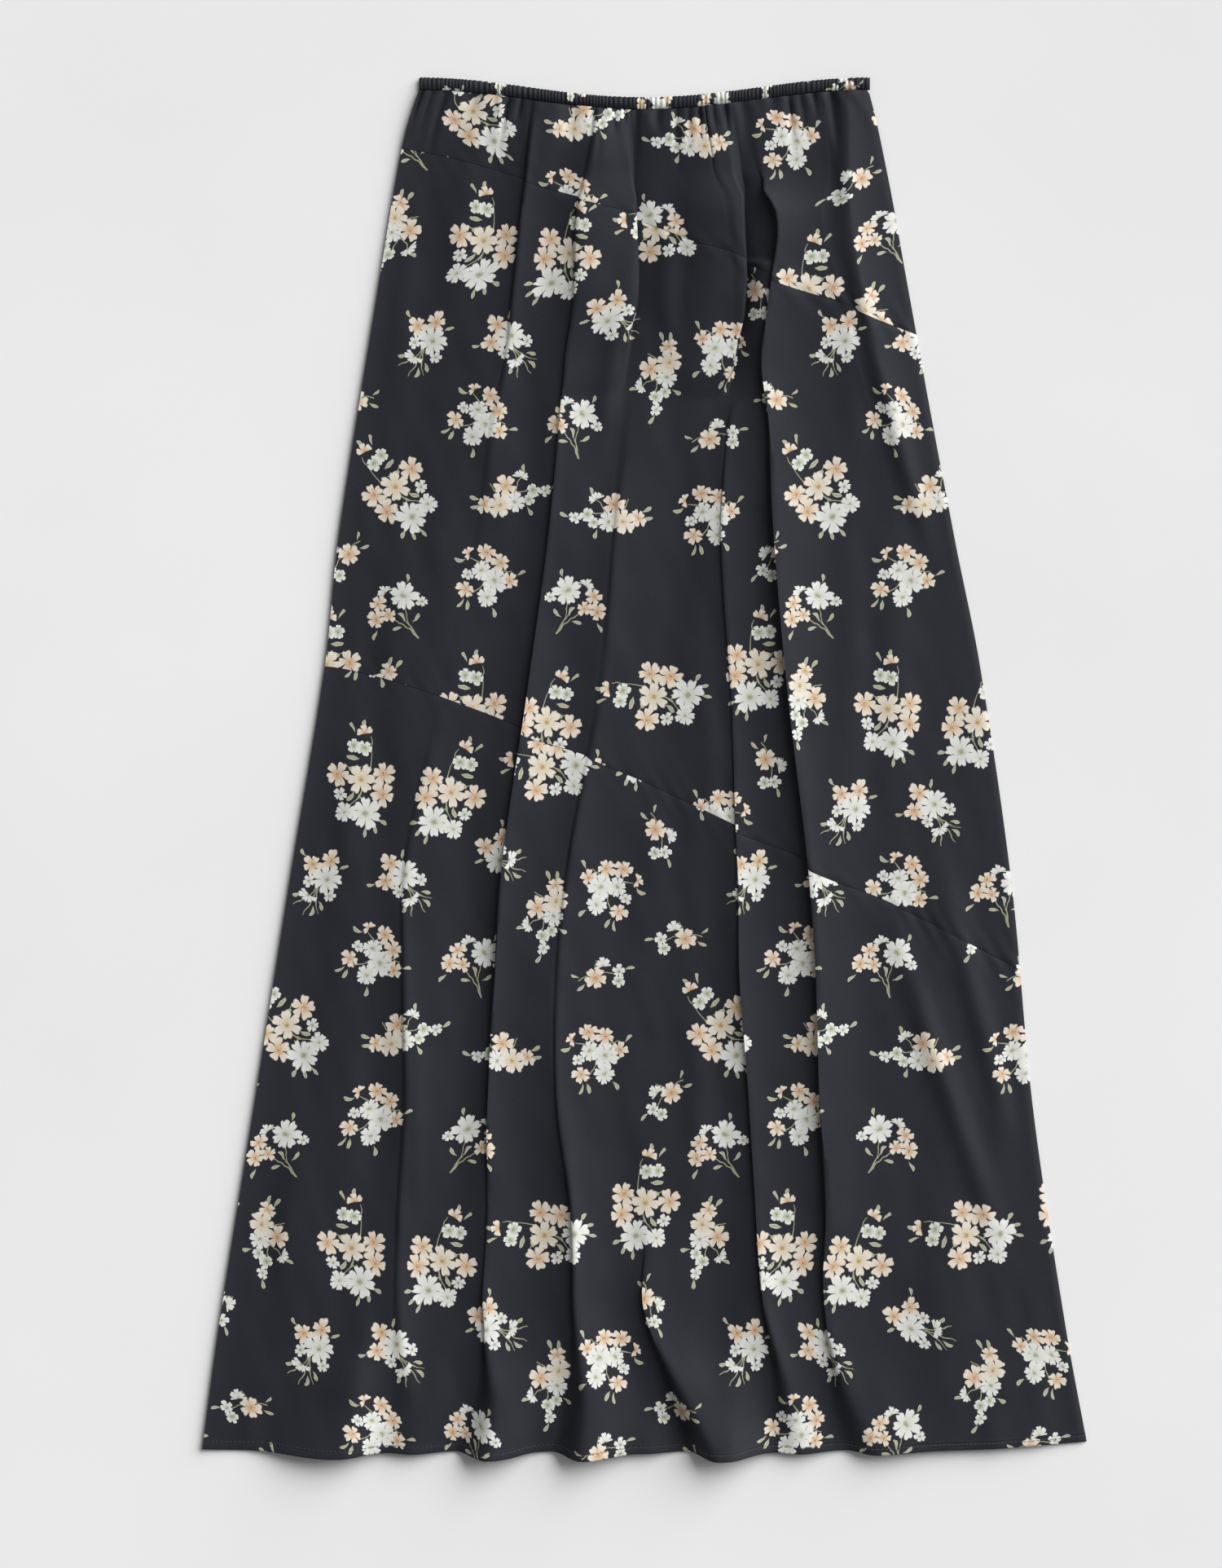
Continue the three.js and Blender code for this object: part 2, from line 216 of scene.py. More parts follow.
# %% Sizes of the cut, in metres
SEAM_GAP = 0.3 * MM
SHELL = 0.5 * MM
CAD_CLOTH = 1.2 * MM
WAIST_Y, WAIST_DIP, CASING_DEPTH = 494 * MM, 14 * MM, 9 * MM
YOKE_LEFT, YOKE_FALL = 443 * MM, 132 * MM
LOWER_LEFT, LOWER_FALL = 75 * MM, 216 * MM
SEAM_BOW = 1.35
HEM_Y, HEM_LEFT, HEM_RIGHT = -483.5 * MM, 1.5 * MM, 7 * MM
HEM_SWING, HEM_SOFTENING, HEM_SOFT_FROM = 0.42, 0.85, -365 * MM
HEM_WIDENING = 1.5
PUFF_TOP, PUFF_BOTTOM, PUFF_EDGE = 3 * MM, 4 * MM, 75 * MM
WAIST_CLIMB, CLIMB_REACH = 1.6 * MM, 55 * MM
FULL_CREASE = 4 * MM
ROUNDED, ROUND_RIM = 0.5, 26 * MM
RIM_DROP, RIM_REACH = 1.2 * MM, 5 * MM
RIM_CURL, CURL_REACH = 0.9 * MM, 14 * MM
# A crest leans over for its height, but by no more than LEAN_LIMIT widths of its steep side
LEAN_LIMIT, TUCKED_LEAN = 1.3, 2.2

# Height of a section, then the two side seams
OUTLINE = MM * np.array([
    (496, -157, 157), (460, -169.4, 165.8), (425, -176.9, 172.8), (355, -188.5, 185),
    (165, -218.6, 220.2), (77, -227.9, 237.8), (-80, -253.5, 260.6), (-237, -278.4, 275.5),
    (-393, -303.3, 298.7), (-490, -316.5, 316.5),
])

# Height of a section, then where the eight creases cross it from left to right
CREASES = MM * np.array([
    (476, -122, -84, -40, -10, 38, 65, 72, 127), (430, -132, -86, -46, -8, 43, 70, 79, 130),
    (395, -136, -90, -52, -8, 48, 71, 97, 131), (345, -141, -96, -53, -7, 50, 72, 93, 139),
    (290, -149, -103, -57, -12, 48, 65, 87, 151), (245, -155, -113, -60, -19, 42, 56, 91, 163),
    (165, -168, -124, -66, -25, 36, 53, 95, 178), (60, -186, -148, -80, -36, 18, 59, 104, 190),
    (-65, -209, -174, -98, -57, 12, 66, 119, 196), (-150, -214, -175, -104, -65, 5, 70, 125, 204),
    (-235, -213, -174, -109, -65, -1, 76, 127, 218), (-315, -222, -179, -114, -55, -5, 80, 132, 236),
    (-385, -226, -181, -115, -54, 1, 85, 128, 250), (-440, -258, -182, -122, -58, 14, 88, 130, 259),
    (-484, -288, -187, -136, -67, 29, 90, 142, 265),
])

# Height of a section, then how high the eight folds stand there. Above zero the cloth right of the
# crease lies on top, below zero the cloth left of it.
HEIGHTS = MM * np.array([
    (476, 0, 4, 2, -2, 2, -0.5, 0.3, 4), (430, 0, 7.5, 4, -4, 2.5, -2.5, 2, 7),
    (395, 0, 8, 4.5, -6, 2.4, -8, 10, 8), (345, 0, 7, 4.5, -6, 2, -7, 11, 8),
    (290, 0, 4.5, 5.5, -1.5, 1.5, -4, 10, 7), (245, 0, 3, 6, 1.5, 0, 3, 10, 3.5),
    (165, 0, 1, 7, 5.5, 0, 4.5, 11, 0), (60, 0, 0.5, 7.5, 3, 0, 4, 11, 0),
    (-65, 0, 4, 8, 6.5, 0, 5.5, 11.5, 0), (-150, 0, 5.5, 7.5, 7, 0, 7, 11, 0),
    (-235, 0, 5.5, 7, 7.5, 0, 6.5, 9, 0), (-315, 0, 4.5, 4, 7, 0.3, 6, 7.5, 0),
    (-385, 2, 4, 6, 7.5, 5.5, 6, 5, 0), (-440, 6.5, 2.5, 9, 9, 10, 5, 5, 0),
    (-484, 9.5, 1.5, 11, 11.5, 13, 2.5, 5, 0),
])

# Each fold's section: width of its steep side, of the slope behind its crest and of the slope before
# its crease. LEANS is how far its crest leans over for its height where it isn't tucked, and FLANKS
# the share of its height that it has climbed at its crease.
FOLDS = MM * np.array([
    (26, 44, 40), (9, 40, 26), (10, 38, 30), (9, 40, 30),
    (10, 56, 30), (10, 32, 28), (10, 44, 34), (19, 32, 40),
])
LEANS = (0, 0.8, 1.8, 0.8, 2.2, 1.8, 2.2, 0.5)
FLANKS = (0.65, 0.5, 0.62, 0.68, 0.62, 0.65, 0.58, 0.45)
print(len(FOLDS), "folds over", len(CREASES), "sections")


# %% Curves through the tables
def smooth(share):
    """Smoothstep: 0 up to 0, 1 from 1 on, and 3 s squared minus 2 s cubed between them."""
    share = np.clip(share, 0, 1)
    return share * share * (3 - 2 * share)


def bell(distance):
    """A bell curve: 1 at 0, and the exponential of minus the distance squared beside it."""
    return np.exp(-(distance**2))


def crowd(share, crowding):
    """Moves shares from 0 to 1 towards both ends, by a sine."""
    return share - crowding * np.sin(2 * np.pi * share) / (2 * np.pi)


def wandering(count, waves, share):
    """A phase that counts up across the waist, and wanders by sines of (reach, speed, start)."""
    phase = count * share
    for reach, speed, start in waves:
        phase = phase + reach * np.sin(speed * share + start)
    return phase


def row_at(rows, y):
    """The table row above each height, and the share of the way down to the next row."""
    row = np.clip(np.searchsorted(-rows, -y) - 1, 0, len(rows) - 2)
    return row, np.clip((rows[row] - y) / (rows[row] - rows[row + 1]), 0, 1)


def curve_at(table, column, y):
    """A cubic through a table's column. At each row its slope is that of the line from the row
    before to the row after."""
    rows, values = table[:, 0], table[:, column]
    row, share = row_at(rows, y)
    before, after = np.maximum(row - 1, 0), np.minimum(row + 2, len(rows) - 1)
    step = rows[row] - rows[row + 1]
    leave = (values[row + 1] - values[before]) / (rows[before] - rows[row + 1]) * step
    arrive = (values[after] - values[row]) / (rows[row] - rows[after]) * step
    square, cube = share**2, share**3
    start = values[row] * (2 * cube - 3 * square + 1) + leave * (cube - 2 * square + share)
    return start + values[row + 1] * (3 * square - 2 * cube) + arrive * (cube - square)


def eased_at(table, column, y):
    """Smoothsteps from row to row of a table's column, which never overshoot."""
    row, share = row_at(table[:, 0], y)
    values = table[:, column]
    return values[row] + (values[row + 1] - values[row]) * smooth(share)


def sides_at(y):
    """Where the left and the right side seam lie at a height."""
    return curve_at(OUTLINE, 1, y), curve_at(OUTLINE, 2, y)


def share_across(x, y):
    """How far a point lies from the left side seam to the right one, from 0 to 1."""
    left, right = sides_at(y)
    return (x - left) / (right - left)


def from_sides(x, y):
    """The distance to the nearer side seam."""
    left, right = sides_at(y)
    return np.minimum(x - left, right - x)


# %% The sewn lines, each a height by the share of the width
def waist_seam(share):
    """The casing's lower edge: level at the sides, and lower in the middle by a sine squared."""
    return WAIST_Y - CASING_DEPTH - WAIST_DIP * np.sin(np.pi * share) ** 2


def yoke_seam(share):
    """Falls to the right by a power of the share, so it starts level and steepens."""
    return YOKE_LEFT - YOKE_FALL * np.clip(share, 0, 1) ** SEAM_BOW


def lower_seam(share):
    """The second slanting seam, with the same bow and a longer fall."""
    return LOWER_LEFT - LOWER_FALL * np.clip(share, 0, 1) ** SEAM_BOW


def hem_edge(share):
    """Level, and lifted a little towards each side seam by a sixth power."""
    return HEM_Y + HEM_LEFT * (1 - share) ** 6 + HEM_RIGHT * share**6


def beside(line, way):
    """The same line half a seam's gap higher (way 1) or lower (way -1), measured across the line."""

    def moved(share):
        step = 0.01
        y = line(share)
        left, right = sides_at(y)
        slope = (line(share + step) - line(share - step)) / (2 * step * (right - left))
        return y + way * SEAM_GAP / 2 * np.hypot(1, slope)

    return moved


# %% Columns that run along the creases
COLUMNS_BETWEEN, YOKE_COLUMNS_BETWEEN = 28, 48
COLUMN_CROWDING = 0.5


def columns_of(between):
    """Numbers of the columns: whole ones at the side seams and creases, and steps between them."""
    return np.linspace(0, len(FOLDS) + 1, (len(FOLDS) + 1) * between + 1)


def column_x(y, columns):
    """Where each column lies at each height. Columns run from the left side seam through all the
    creases to the right one. Between two creases they crowd towards both, by a sine."""
    creases = [curve_at(CREASES, fold, y) for fold in range(1, len(FOLDS) + 1)]
    left, right = sides_at(y)
    lines = np.array([left, *creases, right])
    start = np.minimum(columns.astype(int), len(FOLDS))
    share = crowd(columns - start, COLUMN_CROWDING)
    here = np.broadcast_to(start, y.shape)[None]
    left = np.take_along_axis(lines, here, 0)[0]
    right = np.take_along_axis(lines, here + 1, 0)[0]
    return left + (right - left) * share


def crossing(line, columns):
    """The height at which each column meets a sewn line, closed in on by a few repeats."""
    y = np.full(columns.shape, float(line(0.5)))
    for _ in range(8):
        y = line(share_across(column_x(y, columns), y))
    return y


COLUMNS, YOKE_COLUMNS = columns_of(COLUMNS_BETWEEN), columns_of(YOKE_COLUMNS_BETWEEN)
print(len(COLUMNS), "columns across the front")

# %% [markdown]
# ## The front's surface
# Most folds are like a wave about to break: the cloth climbs to a crest that leans back over the
# crease, and then falls away gently. A few are tucked the other way, with a round rim. Leaning moves
# points sideways as well as up, so a fold can hide a strip of cloth, which a height map can't do.


# %% Height and lean of the long folds
def hem_share(y):
    """0 well above the hem, 1 at it."""
    return smooth((HEM_SOFT_FROM - y) / (HEM_SOFT_FROM - HEM_Y))


def rolled_section(away, wide, behind, down, flank):
    """A fold like a wave about to break, as a share of its height: a flank that steepens by a
    square, a step up to the crest, and a slope behind it that falls by a square."""
    before = flank * np.clip(1 + away / down, 0, 1) ** 2
    step = flank + (1 - flank) * smooth(away / wide)
    far = np.clip((away - wide) / behind, 0, 1)
    return np.where(away < 0, before, np.where(away < wide, step, (1 - far) ** 2))


def hem_section(away, wide, behind):
    """A lobe of the hem, as a share of its height: a smoothstep up from the crease and one down."""
    return smooth(away / wide) * (1 - smooth((away - wide) / behind))


def tucked_section(away, wide, behind):
    """A fold whose rim is round, as a share of its height: a step up at the edge, a rim that
    flattens by a square, and a smoothstep down behind it."""
    rim = 1 - (1 - np.clip(away / ROUND_RIM, 0, 1)) ** 2
    rise = (1 - ROUNDED) * smooth(away / wide) + ROUNDED * rim
    return rise * (1 - smooth((away - ROUND_RIM) / behind))


def folds_at(x, y):
    """Height of the cloth over its lowest place, and its sideways shift. Every fold adds its crest.
    A tucked fold, and every fold at the hem, also presses down the cloth beside its crease."""
    hem = hem_share(y)
    softening = HEM_SOFTENING * hem
    lifts, shifts, free = [], [], []
    for fold, ((rise, behind, down), lean, flank) in enumerate(zip(FOLDS, LEANS, FLANKS), start=1):
        signed = eased_at(HEIGHTS, fold, y)
        tucked, height = signed < 0, np.abs(signed)
        side = np.where(tucked, -1, 1)
        away = side * (x - curve_at(CREASES, fold, y))
        wide = rise * (1 + HEM_WIDENING * hem)
        steep = smooth(away / wide)
        rolled = (1 - hem) * rolled_section(away, wide, behind, down, flank)
        rolled = rolled + hem * hem_section(away, wide, behind)
        lifts.append(height * np.where(tucked, tucked_section(away, wide, behind), rolled))
        falling = 1 - smooth((away - wide) / behind)
        over = np.where(tucked, TUCKED_LEAN, lean) * height
        reach = np.minimum(over, rise * LEAN_LIMIT) * (1 - softening)
        shifts.append(-side * reach * steep * falling)
        before = np.where(tucked, np.clip(1 + away / down, 0, 1) ** 2, smooth(1 + away / down))
        pressed = np.where(away < 0, before, 1 - steep) * np.where(tucked, 1, hem)
        free.append(1 - pressed * np.minimum(1, height / FULL_CREASE))
    free = np.array(free)
    others = np.array([np.prod(np.delete(free, fold, 0), 0) for fold in range(len(FOLDS))])
    upward = smooth((y - HEM_Y) / (WAIST_Y - HEM_Y))
    puff = smooth(from_sides(x, y) / PUFF_EDGE) * (PUFF_BOTTOM + (PUFF_TOP - PUFF_BOTTOM) * upward)
    height = puff * np.prod(free, 0) + np.sum(np.array(lifts) * others, 0)
    return height, np.sum(np.array(shifts) * others, 0)


# %% Gathers, ridges and small unevenness
# Soft ridges: height at the top and bottom end, place across at both, half width and rise
RIDGES = MM * np.array([
    (-215, -450, -51, -41, 5, 1.5), (-300, -470, 88, 105, 6, 1.4), (-160, -345, -158, -160, 6, 1.2),
    (250, 60, -30, -62, 8, 0.8), (470, 320, -120, -134, 14, 2.2), (120, -90, 40, 52, 8, 0.9),
    (-120, -330, 30, 44, 9, 0.8), (60, -140, -200, -226, 8, 0.8), (-260, -400, 170, 196, 8, 0.9),
    (-240, -420, -246, -268, 8, 0.8), (-70, -370, 164, 262, 10, 4), (-45, -285, 205, 266, 9, 3.5),
    (210, -70, 145, 152, 10, 2.6), (400, 200, -16, -29, 6, 3), (430, 270, 17, 16, 8, 2.5),
    (490, 400, -30, -32, 9, 1.8), (490, 400, -62, -64, 9, 1.5), (300, 140, 166, 208, 8, 2.6),
])
# A pouch: middle across, half width, height of its lower lip and rise
POUCH = MM * np.array([84, 11, 366, 5])
POUCH_STEP, POUCH_FADE = 5 * MM, 90 * MM
# Soft hills all over: rise, length across, its share of the length down the cloth, and seed
HILLS = [(0.8 * MM, 46 * MM, 0.2, 3), (0.26 * MM, 20 * MM, 0.4, 5)]
CALM_EDGE = 30 * MM
LOWEST = CAD_CLOTH + SEAM_GAP + CAD_CLOTH / 2
GATHERS, GATHER_WAVES = 29, [(0.8, 9.1, 1), (0.5, 29.7, 0)]
GATHER_DEPTH, GATHER_REACH = 2.6 * MM, 36 * MM


def ridges_at(x, y):
    """Bell curves across, that fade in and out along each ridge by a sine."""
    total = np.zeros_like(x)
    for top, bottom, at_top, at_bottom, half, rise in RIDGES:
        along = np.clip((top - y) / (top - bottom), 0, 1)
        middle = at_top + (at_bottom - at_top) * along
        total += rise * np.sin(np.pi * along) ** 1.5 * bell((x - middle) / half)
    return total


def unevenness(x, y, size, seed):
    """Soft random hills: a sum of sines in eight directions with seeded phases, about -1 to 1."""
    random = np.random.default_rng(seed)
    total = np.zeros_like(x)
    for angle in np.linspace(0, np.pi, 8, endpoint=False):
        length = size * random.uniform(0.7, 1.5)
        wave = (x * np.cos(angle) + y * np.sin(angle)) / length
        total += np.sin(2 * np.pi * wave + random.uniform(0, 2 * np.pi))
    return total / 4


def gathers_at(x, y):
    """Narrow troughs under the casing, a cosine to the fourth. Their phase wanders across the
    waist, so they are unevenly spaced, and each has its own depth and fades at its own distance."""
    share = share_across(x, y)
    drop = waist_seam(share) - y
    phase = wandering(GATHERS, GATHER_WAVES, share)
    chance = 0.5 + 0.5 * np.sin(2 * np.pi * np.round(phase) * 0.37 + 1.3)
    reach = GATHER_REACH * (0.55 + 1.1 * chance)
    depth = GATHER_DEPTH * (0.4 + 0.6 * (0.5 + 0.5 * np.sin(np.round(phase) * 2.17)))
    return -depth * (1 - smooth(drop / reach)) * np.cos(np.pi * phase) ** 4


def pouch_at(x, y):
    """The lip of a deep pouch near the waist: a bell across, a sudden step up below the pouch, and
    a slow fade further down."""
    middle, half, top, rise = POUCH
    across = bell((x - middle) / half)
    return rise * across * smooth((top - y) / POUCH_STEP) * (1 - smooth((top - y) / POUCH_FADE))


def rims_at(x, y):
    """Beside the left side seam the cloth curls up, and beside the right one it bends down, each by
    a square of the distance."""
    left, right = sides_at(y)
    curl = np.clip(1 - (x - left) / CURL_REACH, 0, 1) ** 2
    bend = np.clip(1 - (right - x) / RIM_REACH, 0, 1) ** 2
    return RIM_CURL * curl - RIM_DROP * bend


def front_surface(x, y):
    """A point of the front's middle surface from its place on the flat front: moved sideways by the
    folds, up and down by folds, gathers, ridges and rims, and out over the edge where the hem is
    raised."""
    height, shift = folds_at(x, y)
    drop = waist_seam(share_across(x, y)) - y
    climb = WAIST_CLIMB * (1 - smooth(drop / CLIMB_REACH))
    calm = smooth(from_sides(x, y) / CALM_EDGE)
    small = sum(rise * unevenness(x, y * short, size, seed) for rise, size, short, seed in HILLS)
    z = LOWEST + height + climb + gathers_at(x, y) + calm * (ridges_at(x, y) + small) + pouch_at(x, y)
    z = z + rims_at(x, y)
    return np.stack([x + shift, y - HEM_SWING * height * hem_share(y), z], -1)


# %% [markdown]
# ## Shells
# Cloth is thin but not flat paper: a closed shell with an upper and a lower side keeps its edge
# visible and is a solid. Both sides are the same grid, moved apart along the normals, and a
# strip of quads closes the rim.


# %% A closed shell from two grids
def normals_of(grid):
    """Unit normals of a grid of points: the cross product of its steps down and across."""
    across = np.gradient(grid, axis=1)
    down = np.gradient(grid, axis=0)
    normal = np.cross(down, across)
    return normal / np.linalg.norm(normal, axis=-1, keepdims=True)


def shell_faces(rows, columns):
    """Quads of an upper grid, of a lower grid that faces the other way, and of the rim between."""
    first = (np.arange(rows - 1)[:, None] * columns + np.arange(columns - 1)).ravel()
    over = np.stack([first, first + columns, first + columns + 1, first + 1], 1)
    under = over[:, ::-1] + rows * columns
    index = np.arange(rows * columns).reshape(rows, columns)
    rim = np.concatenate([index[:-1, 0], index[-1, :-1], index[:0:-1, -1], index[0, :0:-1]])
    ahead = np.roll(rim, -1)
    edge = np.stack([rim + rows * columns, ahead + rows * columns, ahead, rim], 1)
    return over, under, edge


def make_mesh(name, points, faces, uv_maps, materials, material_index):
    """Puts arrays into a new mesh object: points, quads, UV maps by corner and materials by face."""
    mesh = bpy.data.meshes.new(name)
    mesh.vertices.add(len(points))
    mesh.vertices.foreach_set("co", points.astype(np.float32).ravel())
    mesh.loops.add(faces.size)
    mesh.loops.foreach_set("vertex_index", faces.astype(np.int32).ravel())
    mesh.polygons.add(len(faces))
    mesh.polygons.foreach_set("loop_start", np.arange(0, faces.size, 4, dtype=np.int32))
    for map_name, corners in uv_maps.items():
        layer = mesh.uv_layers.new(name=map_name)
        layer.data.foreach_set("uv", corners.astype(np.float32).ravel())
    for material in materials:
        mesh.materials.append(material)
    mesh.polygons.foreach_set("material_index", material_index.astype(np.int32))
    mesh.polygons.foreach_set("use_smooth", np.ones(len(faces), bool))
    mesh.update(calc_edges=True)
    mesh.set_sharp_from_angle(angle=math.radians(50))
    piece = bpy.data.objects.new(name, mesh)
    bpy.context.scene.collection.objects.link(piece)
    return piece


# %% [markdown]
# ## The print
# Pale bouquets are scattered over dark cloth. An image could carry them, but nodes stay sharp at any
# size. Drawing a whole repeat in one material would be slow, so each kind of bouquet is a material
# of its own. Every face of the cloth belongs to the bouquet that lies nearest, and a UV map gives
# its place round that bouquet's middle, in millimetres.

# %% Bouquets, in millimetres and degrees
# Stems: foot across and up, direction, length and bow.
# Leaves: foot across and up, direction, length and half width.
# Flowers: style, middle across and up, width, turn and the share of the circle that is open.
BOUQUETS = {
    "spray": {
        "stems": [
            (2, -9.5, 103, 46.5, -4), (0, 5.5, 24, 18.5, 2), (0, 3.5, 166, 18.5, -2),
            (2, -7.5, -48, 16.5, 2), (2, -5.5, 244, 15, 1),
        ],
        "leaves": [
            (-19.5, 33.5, 142, 7.5, 1.25), (-15, 36.5, 98, 7.5, 1.25), (-8.5, 17.5, 192, 9.5, 1.55),
            (-5.5, 13, 218, 9.5, 1.45), (-3, -5.5, 254, 8.5, 1.35), (4.5, -5.5, -66, 8.5, 1.35),
            (18.5, -21.5, -38, 7.5, 1.35), (15, -25, -72, 7.5, 1.35), (20.5, -16.5, -4, 7.5, 1.25),
        ],
        "flowers": [
            ("peach", -13, 35.5, 13.5, 128, 0.55), ("green", -8.5, 26, 11.5, 10, 1),
            ("green", -16.5, 24, 10.5, 40, 1), ("peach", 11, 15, 18.5, 50, 1),
            ("peach", 16.5, 1, 18, 5, 1), ("peach", -18.5, 1, 19, 15, 1),
            ("cream", -2, 4.5, 20, 25, 1), ("star", -11, -12, 10.5, 20, 1),
            ("daisy", -3, -21.5, 14.5, 40, 1), ("daisy", 11, -16.5, 23, 10, 1),
        ],
    },
    "posy": {
        "stems": [
            (1, 0, 238, 20.5, 2), (2, 0, 278, 20.5, -1), (0, 2, 24, 18.5, 1), (0, 2, 158, 16.5, -2),
        ],
        "leaves": [
            (-18.5, 6.5, 202, 7.5, 1.35), (20.5, 7.5, 46, 7.5, 1.25), (-10, -20.5, 246, 7.5, 1.25),
            (-7.5, -20.5, 286, 7.5, 1.25), (11, -19.5, -58, 7.5, 1.35),
        ],
        "flowers": [
            ("peach", -16, 11, 11.5, 172, 0.55), ("star", -13, -3.5, 8.5, 0, 1),
            ("peach", 16.5, 3, 12.5, 0, 1), ("peach", -5.5, 16, 14.5, 20, 1),
            ("peach", 6.5, 13, 15, 50, 1), ("daisy", -4.5, 3, 14.5, 0, 1),
            ("peach", -11, -14, 13.5, 30, 1), ("daisy", 5.5, -14, 16, 60, 1),
            ("daisy", 6.5, -1, 19.5, 25, 1),
        ],
    },
    "fork": {
        "stems": [
            (1, -23, 107, 28, -3), (1, -23, 66, 30, 3), (1, -23, 88, 18.5, 1),
        ],
        "leaves": [
            (-3, -11, 160, 7.5, 1.35), (5.5, -10, 20, 7.5, 1.35), (2, -7.5, 94, 7.5, 1.25),
            (21.5, -1, -32, 7.5, 1.25), (-16, 14, 130, 6.5, 1.2),
        ],
        "flowers": [
            ("daisy", 1, 16.5, 12.5, 96, 0.5), ("star", -16.5, -3, 8.5, 0, 1),
            ("daisy", -8.5, 7.5, 22, 10, 1), ("peach", 10, 14, 13.5, 30, 1),
            ("peach", 17.5, 5.5, 13, 0, 1), ("peach", 8.5, 3, 11.5, 50, 1),
        ],
    },
    "tuft": {
        "stems": [
            (1, -3.5, 238, 22.5, 2), (1, -3.5, 264, 24, 1), (2, -3.5, 290, 20.5, -2),
        ],
        "leaves": [
            (-7.5, -13, 214, 7.5, 1.35), (5.5, -14, -42, 7.5, 1.35), (-14, 12, 142, 7.5, 1.25),
            (3, -18.5, -82, 7.5, 1.25), (11, 13, 40, 6.5, 1.2),
        ],
        "flowers": [
            ("star", 12, -7.5, 8.5, 20, 1), ("peach", 3, 16, 16.5, 30, 1),
            ("peach", -8.5, 8.5, 14.5, 10, 1), ("star", -6.5, -3, 9.5, 0, 1),
            ("daisy", -3, -12, 13.5, 250, 0.6), ("daisy", 5.5, 3, 21, 20, 1),
        ],
    },
    "bough": {
        "stems": [
            (-7.5, 4.5, -38, 37, 4), (-5.5, 5.5, 76, 13, 1), (2, -2, 20, 16.5, 2),
        ],
        "leaves": [
            (-18.5, 15, 150, 7.5, 1.35), (-16, 17.5, 114, 7.5, 1.25), (18.5, 3.5, 34, 7.5, 1.25),
            (22.5, -17.5, -22, 7.5, 1.25), (2, -12, 240, 7.5, 1.35),
        ],
        "flowers": [
            ("star", 19.5, -15, 9, 0, 1), ("green", 14, -8.5, 10, 30, 1),
            ("green", 6.5, -10, 9, 0, 1), ("daisy", 15, 4.5, 11.5, 20, 0.55),
            ("peach", 3.5, 8.5, 17, 0, 1), ("peach", -16, 12, 13.5, 30, 1),
            ("daisy", -1, -3, 14.5, 15, 1), ("cream", -9.5, 3.5, 19.5, 0, 1),
        ],
    },
    "sprig": {
        "stems": [
            (-13, 13, -42, 28, 2), (-3, 4, 40, 12, 1),
        ],
        "leaves": [
            (-12, 8, 172, 7.5, 1.25), (-11, 14, 106, 6.5, 1.2), (13, -9, -32, 7.5, 1.25),
        ],
        "flowers": [
            ("star", 10, -6, 9.5, 30, 1), ("green", 4, -10, 9, 0, 1),
            ("daisy", 6, 5, 12.5, 50, 0.55), ("peach", -4, 4, 16, 10, 1),
        ],
    },
}
KINDS = list(BOUQUETS)
print(sum(len(kind["flowers"]) for kind in BOUQUETS.values()), "flowers in", len(KINDS), "bouquets")

# %% Where the bouquets lie in one repeat of the print
REPEAT = (322, 333)
# Kind, place across and up in millimetres, 1 or -1 where it is mirrored, and turn in degrees
LAYOUT = [
    ("spray", 18, 92, -1, 16), ("spray", 269, 73, 1, 61), ("spray", 123, 60, 1, -25),
    ("spray", 186, 51, -1, 1), ("spray", 73, 219, -1, 60), ("posy", 304, 202, 1, 2),
    ("posy", 133, 272, 1, -45), ("posy", 313, 320, -1, -18), ("posy", 134, 159, 1, -20),
    ("fork", 206, 265, -1, 13), ("fork", 72, 134, -1, 36), ("fork", 206, 138, 1, -32),
    ("tuft", 228, 11, -1, 61), ("tuft", 153, 324, 1, 42), ("tuft", 93, 326, 1, -22),
    ("bough", 61, 71, 1, -62), ("bough", 269, 302, -1, 42), ("bough", 233, 201, -1, -38),
    ("bough", 154, 215, 1, 50), ("sprig", 32, 170, -1, 5), ("sprig", 25, 23, 1, -31),
    ("sprig", 309, 257, 1, 53), ("sprig", 39, 283, -1, -36),
]
print(len(LAYOUT), "bouquets to a repeat of", REPEAT, "mm")


